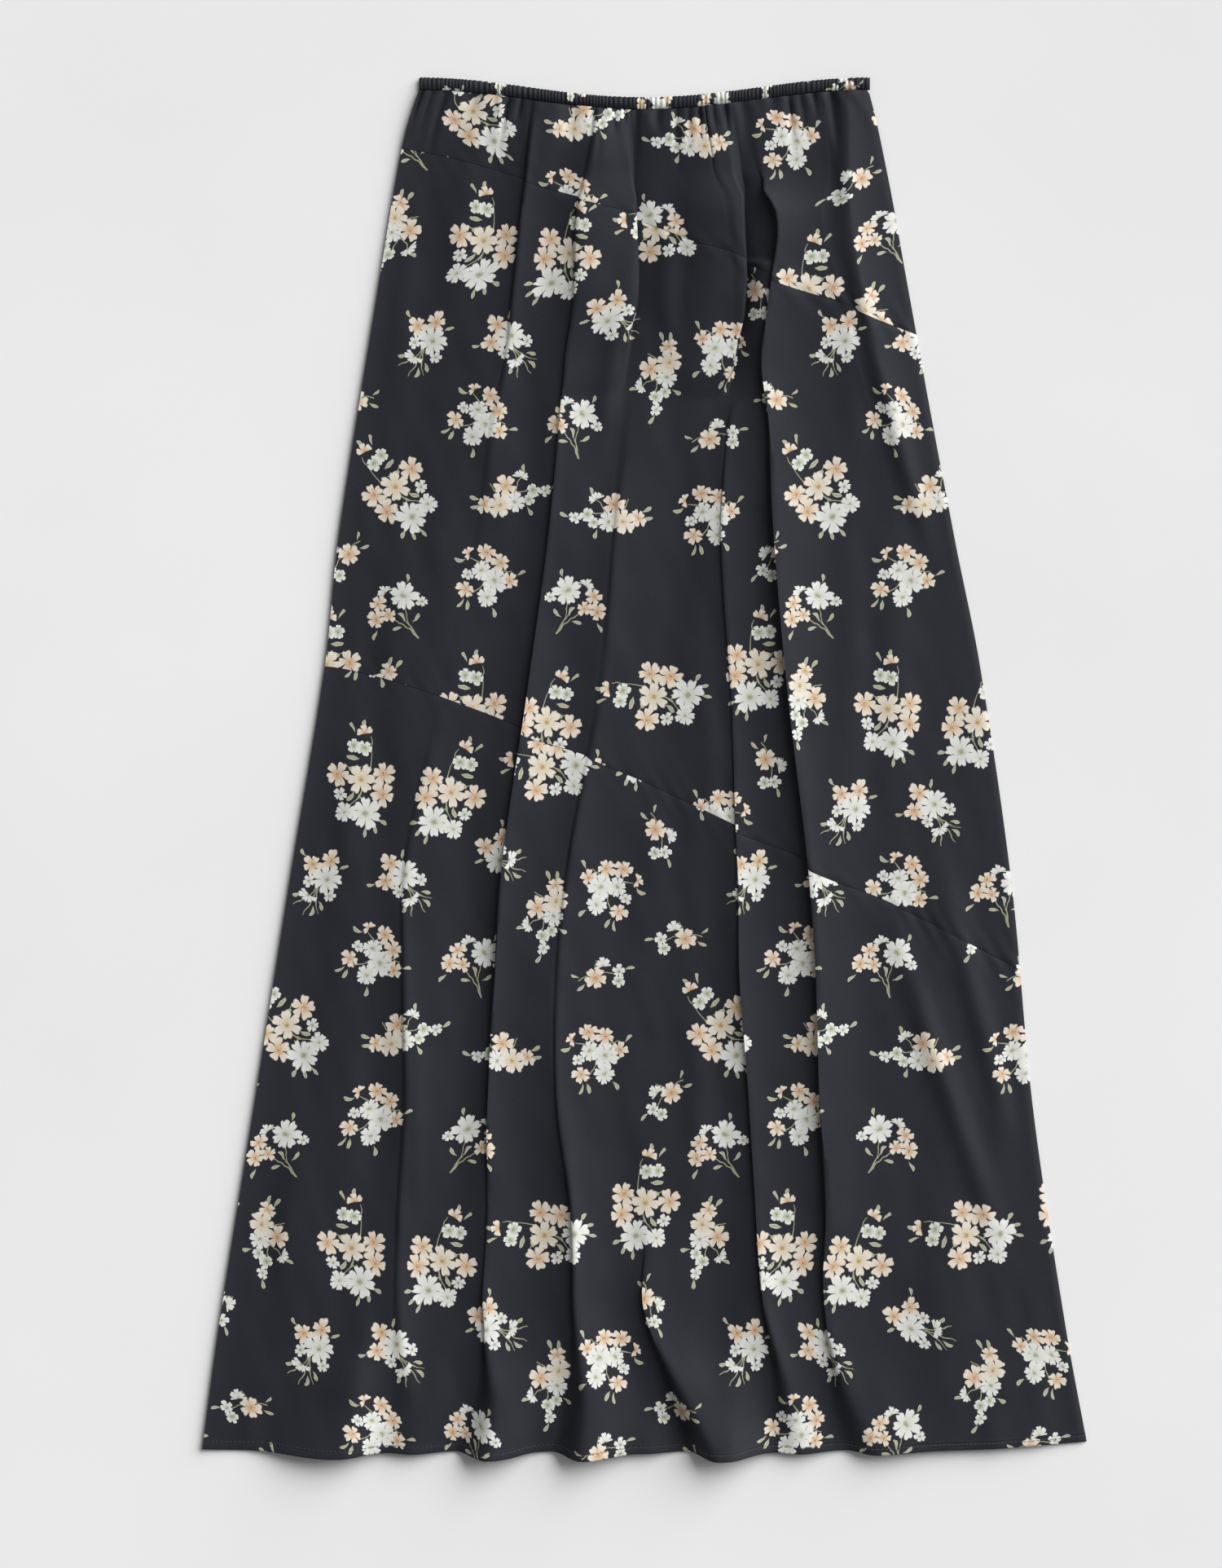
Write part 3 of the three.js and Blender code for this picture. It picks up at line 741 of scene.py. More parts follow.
# %% Flowers as node groups
# Style: petals, edge from the middle of a petal to the gap between two, colours from centre to tip
FLOWERS = {
    "daisy": (
        7,
        [(0, 0.88), (0.1, 0.95), (0.2, 1), (0.3, 0.98), (0.39, 0.88), (0.45, 0.72), (0.5, 0.46)],
        [(0, "8F8F74"), (0.1, "A8A992"), (0.2, "C2C3B9"), (0.42, "CDCDC8"), (1, "D6D6D2")],
    ),
    "peach": (
        5,
        [(0, 0.9), (0.12, 0.98), (0.22, 1), (0.31, 0.94), (0.38, 0.78), (0.44, 0.54), (0.5, 0.3)],
        [
            (0, "A67F58"), (0.1, "BF9A77"), (0.28, "C6A98D"), (0.46, "CEBDA8"), (0.8, "D5CCBF"),
            (1, "D0C3B1"),
        ],
    ),
    "cream": (
        6,
        [(0, 0.92), (0.13, 1), (0.25, 0.98), (0.36, 0.86), (0.44, 0.66), (0.5, 0.42)],
        [
            (0, "9C8A60"), (0.11, "BBA884"), (0.22, "C9BCA6"), (0.6, "D0C7B7"), (0.9, "D5CFC4"),
            (1, "CCBAA2"),
        ],
    ),
    "green": (
        5,
        [(0, 0.93), (0.16, 1), (0.3, 0.95), (0.41, 0.8), (0.5, 0.54)],
        [(0, "858B72"), (0.22, "A5AB95"), (0.46, "BBBFAF"), (0.68, "CFD1C9"), (1, "D6D7D2")],
    ),
    "star": (
        5,
        [(0, 0.9), (0.14, 1), (0.27, 0.95), (0.38, 0.78), (0.5, 0.48)],
        [(0, "82866C"), (0.2, "AEB1A3"), (0.4, "C9CAC4"), (1, "D6D6D3")],
    ),
}
# Tone: darker in the gap between two petals, and changed by a wash. A petal's least length, and how
# much more it may have, as shares of the radius.
GAP_TONE, WASH_TONE = -0.22, 0.3
PETAL_LENGTHS = (0.83, 0.24)
# A petal's rim is soft between these shares of its edge. The radius makes flowers differ.
PETAL_RIM, RADIUS_SEED = (0.95, 1.03), 7.3


def edge_curve(tree, value, points):
    """A Float Curve through points of (in, out), level beyond its last point."""
    made = put(tree, "FloatCurve", {"Value": value})
    curve = made.mapping.curves[0]
    curve.points[0].location = points[0]
    curve.points[1].location = (1, points[-1][1])
    for point in points[1:]:
        curve.points.new(*point)
    made.mapping.update()
    return made.outputs["Value"]


def paint(tree, given, result, covers, tone, colours):
    """Ends a group: lays a shape over the colour under it where covers says. Its tone, changed a
    little by the wash, picks its colour."""
    tone = maths(tree, "MULTIPLY_ADD", given["Wash"], WASH_TONE, tone)
    layers = {"Factor": covers, 6: given["Under"], 7: ramp(tree, tone, colours)}
    mixed = put(tree, "Mix", layers, data_type="RGBA")
    fill(tree, result, {"Colour": mixed.outputs[2]})


def flower_group(style):
    """A flower from above. A direction's distance from the middle of its petal gives the petal's
    edge there, and the share of the way from the centre to the tip gives the colour. Every petal
    has a length of its own. A flower seen from its side shows only the petals near its turn."""
    petals, edge, colours = FLOWERS[style]
    inputs = {"Chart": "Vector", "Middle": "Vector", "Radius": "Float", "Turn": "Float"}
    inputs |= {"Open": "Float", "Wash": "Float", "Under": "Color"}
    tree, given, result = new_group(style + "_flower", inputs, {"Colour": "Color"})
    away = vectors(tree, "SUBTRACT", given["Chart"], given["Middle"])
    parts = put(tree, "SeparateXYZ", {0: away})
    far = put(tree, "VectorMath", {0: away}, operation="LENGTH").outputs["Value"]
    share = maths(tree, "DIVIDE", far, given["Radius"])
    way = maths(tree, "ARCTAN2", parts.outputs["Y"], parts.outputs["X"])
    way = maths(tree, "SUBTRACT", way, given["Turn"])
    petal = maths(tree, "MULTIPLY", way, petals / (2 * math.pi))
    between = maths(tree, "PINGPONG", petal, 0.5)
    number = maths(tree, "FLOORED_MODULO", maths(tree, "ROUND", petal), petals)
    number = maths(tree, "MULTIPLY_ADD", given["Radius"], RADIUS_SEED, number)
    chance = put(tree, "TexWhiteNoise", {"W": number}, noise_dimensions="1D").outputs["Value"]
    length = maths(tree, "MULTIPLY_ADD", chance, PETAL_LENGTHS[1], PETAL_LENGTHS[0])
    edge_share = maths(tree, "MULTIPLY", edge_curve(tree, between, edge), length)
    filled = maths(tree, "DIVIDE", share, edge_share)
    covers = spread(tree, filled, *PETAL_RIM, 1, 0)
    seen = maths(tree, "GREATER_THAN", maths(tree, "COSINE", way), given["Open"])
    covers = maths(tree, "MULTIPLY", covers, seen)
    paint(tree, given, result, covers, maths(tree, "MULTIPLY_ADD", between, GAP_TONE, filled), colours)
    return tree


FLOWER_GROUPS = {style: flower_group(style) for style in FLOWERS}
print(len(FLOWER_GROUPS), "flower styles")


# %% Leaves and stems as node groups
LEAF_EDGE = [(0, 0.06), (0.15, 0.3), (0.45, 0.82), (0.68, 1), (0.86, 0.8), (0.96, 0.36), (1, 0)]
STEM_EDGE = [(0, 1), (0.5, 0.85), (0.97, 0.6), (1, 0)]
LEAF_COLOURS = [(0, "ADAE97"), (0.18, "93957B"), (0.5, "A3A38B"), (0.8, "BABAA8"), (1, "C9C9BB")]
BLADE_RIM = (-0.05, 0.15)
STEM_COLOURS = [(0, "A0A187"), (1, "898B72")]


def blade_group(name, edge, colours):
    """A leaf or a stem: a straight strip turned so that it runs along x, with its middle line bowed
    by a parabola and its half width from a curve along it."""
    inputs = {"Chart": "Vector", "Foot": "Vector", "Turn": "Float", "Length": "Float"}
    inputs |= {"Half": "Float", "Bow": "Float", "Wash": "Float", "Under": "Color"}
    tree, given, result = new_group(name, inputs, {"Colour": "Color"})
    away = vectors(tree, "SUBTRACT", given["Chart"], given["Foot"])
    back_turn = maths(tree, "MULTIPLY", given["Turn"], -1)
    turned = {"Vector": away, "Angle": back_turn}
    level = put(tree, "VectorRotate", turned, rotation_type="Z_AXIS").outputs["Vector"]
    parts = put(tree, "SeparateXYZ", {0: level})
    along = maths(tree, "DIVIDE", parts.outputs["X"], given["Length"])
    arch = maths(tree, "SUBTRACT", along, maths(tree, "POWER", along, 2))
    bowed = maths(tree, "MULTIPLY", arch, given["Bow"])
    aside = maths(tree, "ABSOLUTE", maths(tree, "MULTIPLY_ADD", bowed, -4, parts.outputs["Y"]))
    half = maths(tree, "MULTIPLY", edge_curve(tree, along, edge), given["Half"])
    started = maths(tree, "GREATER_THAN", along, 0)
    covers = spread(tree, maths(tree, "SUBTRACT", half, aside), *BLADE_RIM, 0, 1)
    covers = maths(tree, "MULTIPLY", covers, started)
    paint(tree, given, result, covers, maths(tree, "DIVIDE", aside, half), colours)
    return tree


LEAF_GROUP = blade_group("leaf", LEAF_EDGE, LEAF_COLOURS)
STEM_GROUP = blade_group("stem", STEM_EDGE, STEM_COLOURS)

# %% [markdown]
# ## The cloth's own finish
# The cloth is a soft plain weave with a slight sheen. Its yarns are finer than a screen dot, so they
# are bump from two noises stretched along and across the cloth. A broad, faint noise varies tone and
# gloss, as light does on real cloth. All the printed materials share this group.


# %% Weave, tone and gloss
YARN_STRETCHES = ((2200, 260, 1), (260, 2200, 1))
# What a noise is multiplied by, and what is added
FLECK, BROAD_TONE = (0.16, 0.84), (0.18, 0.91)
BROAD_SCALE, ROUGHNESS = 14.0, (0.56, 0.7)


def finish_group():
    """Yarns: noise stretched along the cloth plus noise stretched across it, as the bump's height.
    Tone: the colour times a broad noise near 1. Roughness: from the same noise."""
    outputs = {"Colour": "Color", "Roughness": "Float", "Height": "Float"}
    tree, given, result = new_group("soft_weave", {"Cloth": "Vector", "Colour": "Color"}, outputs)
    yarns = []
    cloth = given["Cloth"]
    for stretch in YARN_STRETCHES:
        lie = put(tree, "Mapping", {"Vector": cloth, "Scale": stretch}).outputs["Vector"]
        yarns.append(noise(tree, lie, 1.0, 1.0))
    height = maths(tree, "ADD", *yarns)
    broad = noise(tree, cloth, BROAD_SCALE, 4.0)
    fleck = maths(tree, "MULTIPLY_ADD", height, *FLECK)
    tone = maths(tree, "MULTIPLY", maths(tree, "MULTIPLY_ADD", broad, *BROAD_TONE), fleck)
    toned = put(tree, "VectorMath", {0: given["Colour"], "Scale": tone}, operation="SCALE")
    gloss = spread(tree, broad, 0.3, 0.7, *ROUGHNESS)
    fill(tree, result, {"Colour": toned.outputs["Vector"], "Roughness": gloss, "Height": height})
    return tree


FINISH_GROUP = finish_group()
CLOTH_COLOUR = "24252B"
INSIDE_COLOUR = "34353B"
SHEEN = {"Sheen Weight": 0.03, "Sheen Roughness": 0.5, "Sheen Tint": (0.8, 0.85, 1, 1)}


def finish_cloth(tree, shader, colour):
    """Joins a colour to the shader through the shared finish. The sheen is the same all over, so it
    is set on the shader itself."""
    cloth = put(tree, "UVMap", None, uv_map="cloth").outputs["UV"]
    finish = put(tree, "Group", {"Cloth": cloth, "Colour": colour}, node_tree=FINISH_GROUP).outputs
    bump = put(tree, "Bump", {"Height": finish["Height"], "Strength": 0.25, "Distance": 0.0003})
    joined = {"Base Color": finish["Colour"], "Roughness": finish["Roughness"]}
    joined |= {"Normal": bump.outputs["Normal"], "Specular IOR Level": 0.14}
    fill(tree, shader, joined | SHEEN)


# %% One material for each kind of bouquet
STEM_HALF, LEAF_BOW = 0.48, 0.6
WAVER_SCALE, WAVER_REACH = 0.14, (3.4, 3.4, 0)
WASH_SCALE = 0.45


def blade(group, x, y, turn, length, half, bow):
    """A leaf's or a stem's group, and its inputs."""
    foot = {"Foot": (x, y, 0), "Turn": math.radians(turn), "Length": length}
    return group, foot | {"Half": half, "Bow": bow}


def flower(style, x, y, width, turn, opened):
    """A flower's group and its inputs. A flower that is wholly open shows every petal."""
    middle = {"Middle": (x, y, 0), "Radius": width / 2, "Turn": math.radians(turn)}
    return FLOWER_GROUPS[style], middle | {"Open": math.cos(math.pi * opened) if opened < 1 else -2}


def bouquet_material(kind):
    """Stems, then leaves, then flowers, each laid over the colour that the last one gave."""
    material, tree, shader = new_material(kind + "_print")
    chart = put(tree, "UVMap", None, uv_map="bouquet").outputs["UV"]
    waver = vectors(tree, "SUBTRACT", noise(tree, chart, WAVER_SCALE, 1.0, "Color"), (0.5, 0.5, 0.5))
    chart = vectors(tree, "MULTIPLY_ADD", waver, WAVER_REACH, chart)
    wash = maths(tree, "SUBTRACT", noise(tree, chart, WASH_SCALE, 2.0), 0.5)
    stems, leaves, flowers = (BOUQUETS[kind][part] for part in ("stems", "leaves", "flowers"))
    parts = [blade(STEM_GROUP, *stem[:4], STEM_HALF, stem[4]) for stem in stems]
    parts += [blade(LEAF_GROUP, *leaf, LEAF_BOW) for leaf in leaves]
    parts += [flower(*one) for one in flowers]
    colour = linear(CLOTH_COLOUR)
    for group, own in parts:
        shared = {"Chart": chart, "Wash": wash, "Under": colour}
        colour = put(tree, "Group", shared | own, node_tree=group).outputs["Colour"]
    finish_cloth(tree, shader, colour)
    return material


PRINTS = [bouquet_material(kind) for kind in KINDS]
inside_finish, tree, shader = new_material("wrong_side")
finish_cloth(tree, shader, linear(INSIDE_COLOUR))
CLOTH_MATERIALS = [*PRINTS, inside_finish]
INSIDE = len(PRINTS)
print(len(PRINTS), "printed materials")


# %% Which bouquet each face belongs to
def covering_circles(kind):
    """Circles that cover a bouquet's flowers and leaves: across, up and radius."""
    flowers = [(x, y, width / 2) for _, x, y, width, _, _ in BOUQUETS[kind]["flowers"]]
    leaves = []
    for x, y, turn, length, _ in BOUQUETS[kind]["leaves"]:
        way, half = math.radians(turn), length / 2
        leaves.append((x + half * math.cos(way), y + half * math.sin(way), half))
    return np.array(flowers + leaves)


COVERS = {kind: covering_circles(kind) for kind in KINDS}
# How far round a bouquet's middle faces are looked for, and a chart place with no bouquet
SEARCH, NOWHERE = 75, 1000.0


def to_chart(u, v, mirror, turn):
    """Places round a bouquet's middle, turned and mirrored back to the way it is drawn."""
    cosine, sine = math.cos(math.radians(turn)), math.sin(math.radians(turn))
    return mirror * (cosine * u + sine * v), cosine * v - sine * u


def bouquet_charts(corners):
    """For faces with corners in cloth millimetres: the kind of the nearest bouquet, and the corners
    round its middle. Nearest is measured to the edges of the circles that cover its flowers."""
    middle = corners.mean(1)
    nearest = np.full(len(corners), np.inf)
    kinds = np.zeros(len(corners), int)
    charts = np.full(corners.shape, NOWHERE)
    low = np.floor(middle.min(0) / REPEAT).astype(int) - 1
    high = np.ceil(middle.max(0) / REPEAT).astype(int) + 1
    for column in range(low[0], high[0]):
        for row in range(low[1], high[1]):
            for kind, across, up, mirror, turn in LAYOUT:
                at = np.array([across + column * REPEAT[0], up + row * REPEAT[1]])
                close = np.flatnonzero(np.abs(middle - at).max(1) < SEARCH)
                if not len(close):
                    continue
                x, y = to_chart(*(middle[close] - at).T, mirror, turn)
                cover = COVERS[kind]
                gap = (np.hypot(x[:, None] - cover[:, 0], y[:, None] - cover[:, 1]) - cover[:, 2]).min(1)
                won = close[gap < nearest[close]]
                nearest[close] = np.minimum(nearest[close], gap)
                kinds[won] = KINDS.index(kind)
                moved = corners[won] - at
                charts[won] = np.stack(to_chart(moved[..., 0], moved[..., 1], mirror, turn), -1)
    return kinds, charts


# %% [markdown]
# ## Panels
# A panel is a grid between two sewn lines. Its cloth coordinates are measured along the folded
# surface, so a fold swallows part of a bouquet, as it does on the real skirt. Every panel is cut
# from another place of the printed cloth, so bouquets are cut off at the seams.

# %% The frame's small shift, from the back's own box
BACK_SIDE, BACK_HEM = 1.5 * MM, 7 * MM
corner_y = hem_edge(0.0) + BACK_HEM
own_low = np.array([
    sides_at(np.array(corner_y))[0] + BACK_SIDE,
    hem_edge(np.linspace(0, 1, 17)).min() + BACK_HEM,
])
SHIFT = np.array([*(np.array(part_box("back")[0])[:2] - own_low), 0])
print("frame shift, mm:", np.round(SHIFT / MM, 2))


# %% Cloth measures
def cloth_places(flat_x, y, surface):
    """Across: the flat place, plus what the folds take up between it and the middle column. Up: the
    flat height. Both in millimetres."""
    step = np.diff(surface, axis=1)
    taken = np.hypot(step[..., 0], step[..., 2]) - np.diff(flat_x, axis=1)
    total = np.concatenate([np.zeros((len(y), 1)), np.cumsum(taken, axis=1)], axis=1)
    centre = total.shape[1] // 2
    return np.stack([flat_x + total - total[:, centre : centre + 1], y], -1) / MM


def cloth_piece(name, over, under, places, printed):
    """A closed shell. The side named by printed, over or under, and the rim get the bouquets, and
    the other side the plain inside."""
    rows, columns = over.shape[:2]
    sides = shell_faces(rows, columns)
    faces = np.concatenate(sides)
    corners = np.concatenate([places.reshape(-1, 2)] * 2)[faces]
    index = np.full(len(faces), INSIDE)
    charts = np.full(corners.shape, NOWHERE)
    first = 0 if printed == "over" else len(sides[0])
    shown = np.r_[first : first + len(sides[0]), len(sides[0]) * 2 : len(faces)]
    index[shown], charts[shown] = bouquet_charts(corners[shown])
    points = np.concatenate([over.reshape(-1, 3), under.reshape(-1, 3)]) + SHIFT
    maps = {"cloth": corners * MM, "bouquet": charts}
    piece = make_mesh(name, points, faces, maps, CLOTH_MATERIALS, index)
    print(name, 2 * len(faces), "triangles")
    return piece


# %% Front panels
SEAM_DIP, SEAM_SOFT = 0.3 * MM, 1.8 * MM
PUCKER, PUCKER_REACH, PUCKER_LENGTH = 0.4 * MM, 10 * MM, 12 * MM
PUCKER_WANDER = 31 * MM


def seam_relief(x, y, line_y, share):
    """Beside a seam: a small dip, a bell curve of the distance, and puckers that die away from the
    seam and grow towards the right side, where the seam is steepest."""
    away = np.abs(y - line_y)
    dip = -SEAM_DIP * (0.25 + 0.75 * share) * bell(away / SEAM_SOFT)
    wave = np.sin(2 * np.pi * (x + 0.6 * y) / PUCKER_LENGTH + 2 * np.sin(x / PUCKER_WANDER))
    return dip + PUCKER * (0.2 + 0.8 * share**2) * np.exp(-away / PUCKER_REACH) * wave


def front_grid(top_line, bottom_line, shares, columns):
    """Flat places and surface of a panel, rows from its top down, and the heights of both its lines."""
    top, bottom = crossing(top_line, columns), crossing(bottom_line, columns)
    y = top + (bottom - top) * shares[:, None]
    x = column_x(y, columns)
    return x, y, front_surface(x, y), top, bottom


def crowded(rows, crowding=0.5):
    """Shares from 0 to 1, one more than there are rows, that crowd towards both ends."""
    return crowd(np.linspace(0, 1, rows + 1), crowding)


def shell_of(surface, half):
    """The two sides of a shell, half its thickness away from its middle surface."""
    normal = normals_of(surface)
    return surface + normal * half, surface - normal * half


def declare(piece, node):
    """Hangs a piece under the frame's root, and hides the solid that it replaces."""
    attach(piece, "root")
    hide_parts(node)


def front_panel(name, node, lines, rows, columns, cut_at):
    """A panel between two seams, cut from the printed cloth at cut_at, in millimetres."""
    top_line, bottom_line = beside(lines[0], -1), beside(lines[1], 1)
    x, y, surface, top, bottom = front_grid(top_line, bottom_line, crowded(rows), columns)
    share = share_across(x, y)
    surface[..., 2] += seam_relief(x, y, top, share) + seam_relief(x, y, bottom, share)
    over, under = shell_of(surface, SHELL / 2)
    piece = cloth_piece(name, over, under, cloth_places(x, y, surface) + cut_at, "over")
    declare(piece, node)


front_panel("yoke_cloth", "front_yoke", (waist_seam, yoke_seam), 56, YOKE_COLUMNS, (200, 86))
front_panel("middle_cloth", "front_middle", (yoke_seam, lower_seam), 140, COLUMNS, (-65, 20))

# %% [markdown]
# ## Lower panel and hem
# The hem is turned twice and stitched, so its last few millimetres are thicker, with a rounded edge
# and a faint groove under the stitches. Extra rows there give the mesh something to bend.

# %% Lower panel
HEM_TURN, HEM_THICKER, STITCH_UP = 6 * MM, 0.3 * MM, 5 * MM
TURN_STEP, EDGE_ROUND = 0.8 * MM, 0.7 * MM
GROOVE, GROOVE_HALF = 0.25 * MM, 0.6 * MM
RIPPLE, RIPPLE_LENGTH, RIPPLE_WANDER = 0.16 * MM, 9 * MM, 47 * MM
LOWER_ROWS, HEM_ROWS = 172, 16
# The hem's closer rows lie in a band, which is a share of the panel's rough height
HEM_BAND, LOWER_HEIGHT = 9 * MM, 0.5


def lower_shares(height):
    """Rows that crowd towards the seam, then closer rows over the hem."""
    band = HEM_BAND / height
    body = crowded(LOWER_ROWS, 0.3) * (1 - band)
    return np.concatenate([body, 1 - band * (1 - np.linspace(0, 1, HEM_ROWS + 1)[1:]) ** 1.2])


def hem_relief(x, from_edge):
    """The groove under the stitches, a bell curve, and short ripples that a turned hem gets."""
    groove = -GROOVE * bell((from_edge - STITCH_UP) / GROOVE_HALF)
    phase = 2 * np.pi * (x - 0.8 * from_edge) / RIPPLE_LENGTH + 3 * np.sin(x / RIPPLE_WANDER)
    return groove + RIPPLE * np.sin(phase) * (1 - smooth(from_edge / HEM_BAND))


rows_down = lower_shares(LOWER_HEIGHT)
x, y, surface, top, bottom = front_grid(beside(lower_seam, -1), hem_edge, rows_down, COLUMNS)
from_edge = y - bottom
surface[..., 2] += seam_relief(x, y, top, share_across(x, y)) + hem_relief(x, from_edge)
turned = 1 - smooth((from_edge - HEM_TURN) / TURN_STEP)
rounding = np.sqrt(np.clip(from_edge / EDGE_ROUND, 0.04, 1))
over, under = shell_of(surface, ((SHELL + HEM_THICKER * turned) / 2 * rounding)[..., None])
lower = cloth_piece("lower_cloth", over, under, cloth_places(x, y, surface) + (15, 70), "over")
declare(lower, "front_lower")
LOWER_OVER, LOWER_FROM_EDGE = over, from_edge

# %% [markdown]
# ## Back panel
# The back lies flat on the table and its printed side faces down. It has faint creases too, which
# lift it by less than half a millimetre, so it still rests flat.

# %% Back panel
BACK_ROWS, BACK_COLUMNS = 190, 130
# Faint creases of the back: place across as a share, drift, half width and rise
BACK_CREASES = [
    (0.18, 0.05, 8, 0.4), (0.37, -0.04, 10, 0.3), (0.55, 0.06, 9, 0.4), (0.79, -0.03, 8, 0.35),
]

shares = np.linspace(0, 1, BACK_ROWS + 1)[:, None]
across = np.linspace(0, 1, BACK_COLUMNS + 1)[None, :]
top, bottom = beside(waist_seam, -1)(across), hem_edge(across) + BACK_HEM
y = top + (bottom - top) * shares
left, right = sides_at(y)
left, right = left + BACK_SIDE, right - BACK_SIDE
x = left + (right - left) * across
z = np.full_like(x, SHELL / 2)
for at, drift, half, rise in BACK_CREASES:
    line = at + drift * np.sin(3 * shares + 7 * at)
    fade = 0.6 + 0.4 * np.sin(9 * shares + 20 * at)
    z += rise * MM * fade * bell((across - line) * (right - left) / (half * MM))
surface = np.stack([x, y, z], -1)
over, under = shell_of(surface, SHELL / 2)
under[..., 2] = np.maximum(under[..., 2], 0)
places = cloth_places(-x, y, surface * (-1, 1, 1)) + (90, 140)
back = cloth_piece("back_cloth", over, under, places, "under")
declare(back, "back")

# %% [markdown]
# ## Waist casing
# A strip of the same cloth is gathered over a narrow elastic. Its small ridges are close and uneven,
# and the bouquets on it are squeezed together. Each side is a section carried along the waist, and
# the gathers raise its outer side.

# %% Casing
CASING_THICK = 2.4 * MM
RIDGES_ACROSS, RIDGE_WAVES = 112, [(0.8, 17, 0), (0.45, 61, 1)]
CASING_STATIONS, CASING_POINTS = 1008, 14
GATHERED, GATHERED_UP = 1.7, 1.25
JOIN_X, JOIN_HALF = 7 * MM, 0.7 * MM
# Share of the depth or thickness that a hollow or the join takes away
HOLLOW_DEPTH, JOIN_DEPTH = 0.06, 0.05
HOLLOW_THICK, JOIN_THICK = 0.36, 0.25
# The stitches' dip: its share of the thickness, its place up the casing and its half width
STITCH_DIP, STITCH_PLACE, STITCH_HALF = 0.1, 0.2, 0.07
# The power that rounds the section, the share of the waist in which an end tapers, and how thin it gets
ROUND_POWER, END_SHARE, END_LEAST = 0.45, 0.004, 0.35
UNDER_LIFT, LEAST_THICK = 0.3 * MM, 0.05 * MM


def casing_gather(share):
    """0 on a ridge and 1 in a hollow. The phase wanders, so ridges differ in width, and a slower
    wave makes some of them weaker."""
    phase = wandering(RIDGES_ACROSS, RIDGE_WAVES, share)
    depth = 0.78 + 0.22 * np.sin(2 * np.pi * phase * 0.31 + 0.6)
    return depth * (0.5 - 0.5 * np.cos(2 * np.pi * phase))


def casing_grid(underside, join):
    """The casing's outer side and its underside, from the seam up to the top edge. The height is a
    root of a sine, with a dip along the stitches, and hollows take part of it away."""
    share = np.linspace(0, 1, CASING_STATIONS + 1)[None, :]
    up = (0.5 - 0.5 * np.cos(np.pi * np.linspace(0, 1, CASING_POINTS + 1)))[::-1, None]
    hollow = casing_gather(share)
    seam_y = waist_seam(share)
    left, right = sides_at(seam_y)
    x = left + (right - left) * share + 0 * up
    notch = join * bell((x - JOIN_X) / JOIN_HALF)
    y = seam_y + SEAM_GAP / 2 + up * CASING_DEPTH * (1 - HOLLOW_DEPTH * hollow - JOIN_DEPTH * notch)
    round_off = np.sin(np.pi * np.clip(up, 0.0, 1.0)) ** ROUND_POWER
    stitched = 1 - STITCH_DIP * bell((up - STITCH_PLACE) / STITCH_HALF)
    ends = np.sqrt(np.clip(np.minimum(share, 1 - share) / END_SHARE, 0, 1))
    left_over = 1 - HOLLOW_THICK * hollow - JOIN_THICK * notch
    high = CASING_THICK * round_off * stitched * left_over * (END_LEAST + (1 - END_LEAST) * ends)
    low = UNDER_LIFT * hollow * round_off
    over = np.stack([x, y, underside + np.maximum(high, low + LEAST_THICK)], -1)
    under = np.stack([x, y, underside + low], -1)
    return over, under


def casing(name, node, underside, join, printed, cut_at):
    """One side of the casing, closed all round."""
    over, under = casing_grid(underside, join)
    shown = over if printed == "over" else under
    places = np.stack([shown[..., 0] * GATHERED, shown[..., 1] * GATHERED_UP], -1) / MM + cut_at
    piece = cloth_piece(name, over, under, places, printed)
    declare(piece, node)


CASING_TOP = CASING_THICK + SEAM_GAP
casing("casing_back_cloth", "waistband_back", 0.0, 0, "under", (30, 60))
casing("casing_front_cloth", "waistband_front", CASING_TOP, 1, "over", (120, 10))

# %% [markdown]
# ## Stitches
# A row of machine stitches holds the hem. Each stitch is a short thread that dips into the cloth at
# both ends. All the stitches are one mesh, made by placing one small tube at every point of the row
# at once.

# %% Thread finish
thread_finish, tree, shader = new_material("dark_thread")
twist = put(tree, "UVMap", None, uv_map="cloth").outputs["UV"]
strands = {"Vector": twist, "Scale": 0.9, "Distortion": 0.4}
ply = put(tree, "TexWave", strands, bands_direction="DIAGONAL").outputs["Fac"]
shade = ramp(tree, ply, [(0.1, "1B1C20"), (0.8, "3B3C43")])
bump = put(tree, "Bump", {"Height": ply, "Strength": 0.5, "Distance": 0.0001}).outputs["Normal"]
fill(tree, shader, {"Base Color": shade, "Normal": bump, "Roughness": 0.6, "Sheen Weight": 0.15})

# %% Rows of stitches
STITCH_PITCH, STITCH_LENGTH, THREAD = 3.2 * MM, 2.5 * MM, 0.22 * MM
TUBE_SIDES, TUBE_STATIONS = 6, 5


def resample(line, pitch):
    """Points at even steps along a line of points, with the line's direction there."""
    length = np.concatenate([[0], np.cumsum(np.linalg.norm(np.diff(line, axis=0), axis=1))])
    steps = np.arange(pitch, length[-1] - pitch, pitch)

    def place(far):
        return np.stack([np.interp(far, length, line[:, axis]) for axis in range(3)], 1)

    point = place(steps)
    along = place(steps + pitch / 4) - point
    return point, along / np.linalg.norm(along, axis=1, keepdims=True)


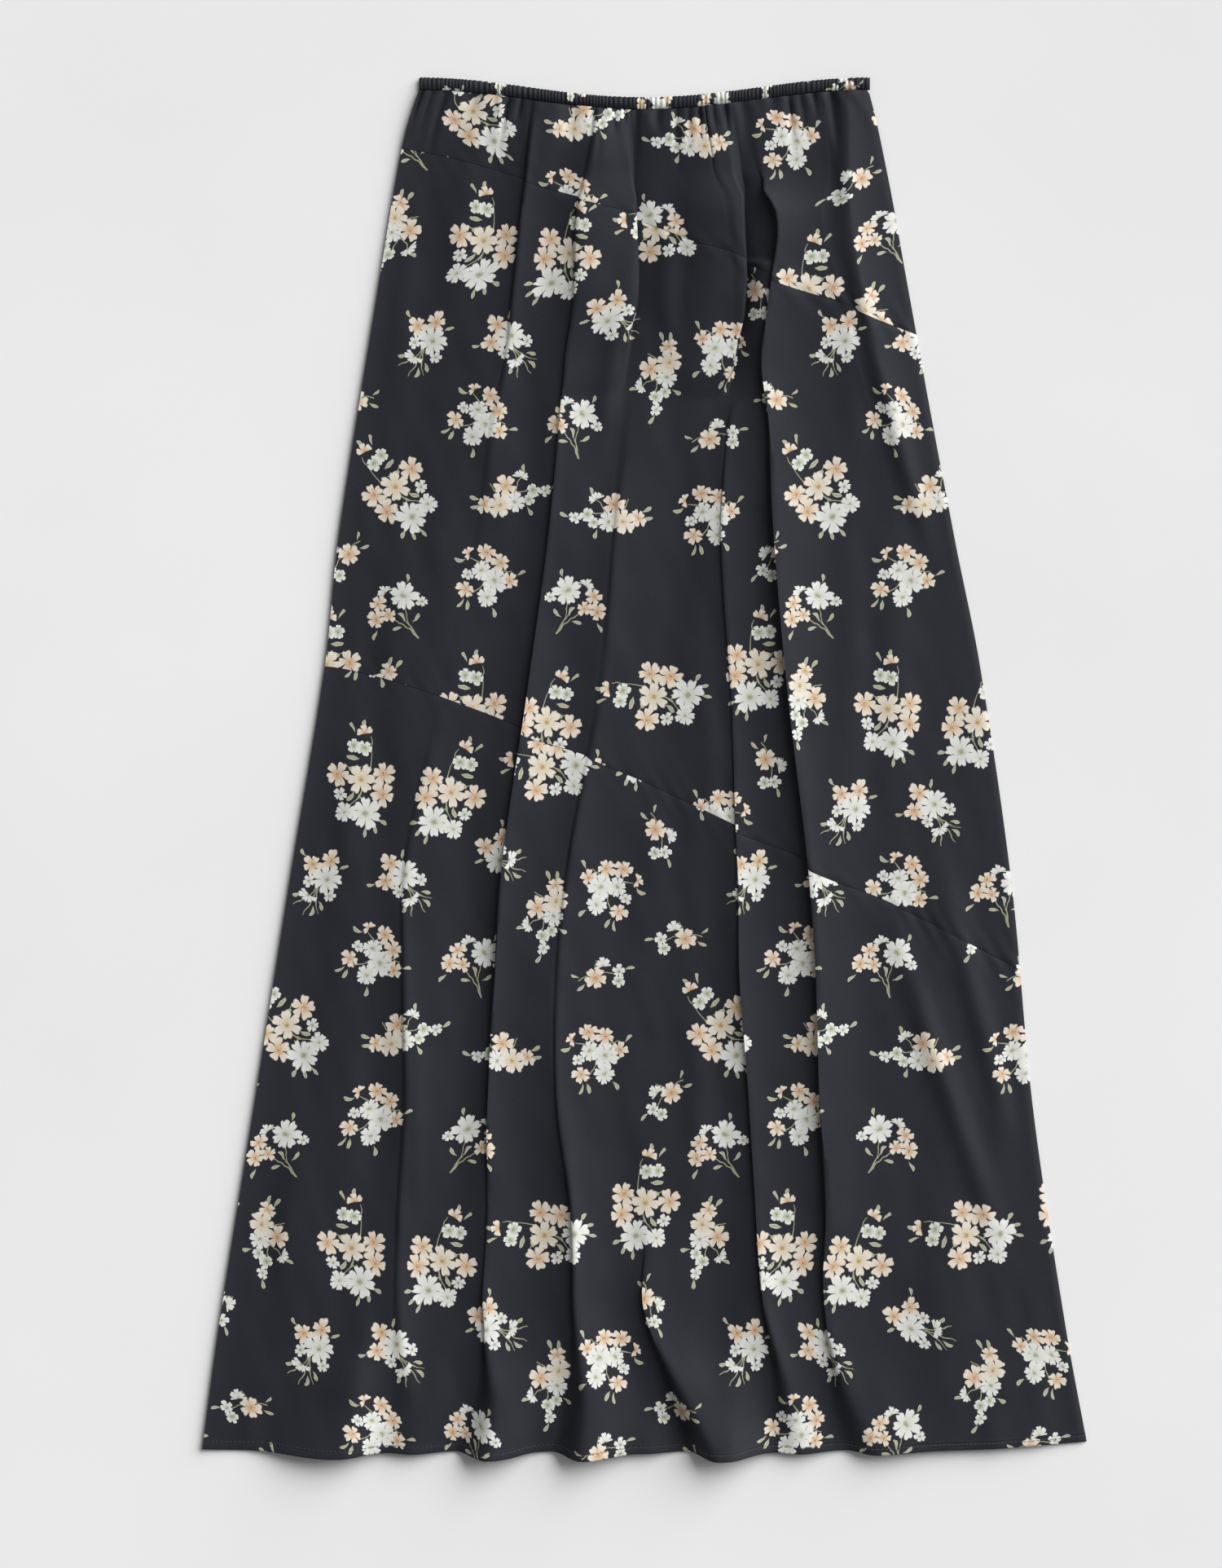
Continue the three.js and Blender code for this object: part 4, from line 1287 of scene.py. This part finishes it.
def stitch_row(name, line, outward):
    """One tube for each stitch: rings along it, thinner and lower towards both ends."""
    point, along = resample(line, STITCH_PITCH)
    side = np.cross(along, np.broadcast_to(outward, along.shape))
    side /= np.linalg.norm(side, axis=1, keepdims=True)
    up = np.cross(side, along)
    reach = np.linspace(-1, 1, TUBE_STATIONS)[:, None, None]
    angle = np.linspace(0, 2 * np.pi, TUBE_SIDES, endpoint=False)[None, :, None]
    radius = THREAD * np.sqrt(1 - 0.8 * reach**2)
    middle = point[:, None, None] + along[:, None, None] * reach * STITCH_LENGTH / 2
    lift = (THREAD * 0.7 * (1 - 1.6 * reach**4))[None]
    aside = side[:, None, None] * np.cos(angle) * radius
    above = up[:, None, None] * (np.sin(angle) * radius + lift)
    points = (middle + (aside + above)).reshape(-1, 3)
    station = np.arange(TUBE_STATIONS - 1)[:, None] * TUBE_SIDES
    here, there = np.arange(TUBE_SIDES), np.roll(np.arange(TUBE_SIDES), -1)
    near, far = station + here, station + there
    sides = np.stack([near, far, far + TUBE_SIDES, near + TUBE_SIDES], -1)
    # Two quads close each six-sided end
    first_cap = np.array([(3, 2, 1, 0), (5, 4, 3, 0)])
    last_cap = np.array([(0, 1, 2, 3), (0, 3, 4, 5)]) + (TUBE_STATIONS - 1) * TUBE_SIDES
    one = np.concatenate([sides.reshape(-1, 4), first_cap, last_cap])
    faces = (np.arange(len(point))[:, None, None] * TUBE_STATIONS * TUBE_SIDES + one).reshape(-1, 4)
    turns = np.stack(np.broadcast_arrays(angle / 2, reach * 3), -1).reshape(-1, 2)
    corners = np.tile(turns, (len(point), 1))[faces]
    maps, index = {"cloth": corners}, np.zeros(len(faces))
    piece = make_mesh(name, points + SHIFT, faces, maps, [thread_finish], index)
    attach(piece, "root")
    print(name, len(point), "stitches")
    return piece


hem_row = np.argmin(np.abs(LOWER_FROM_EDGE[:, len(COLUMNS) // 2] - STITCH_UP))
hem_stitches = stitch_row("hem_stitches", LOWER_OVER[hem_row], (0, 0, 1))
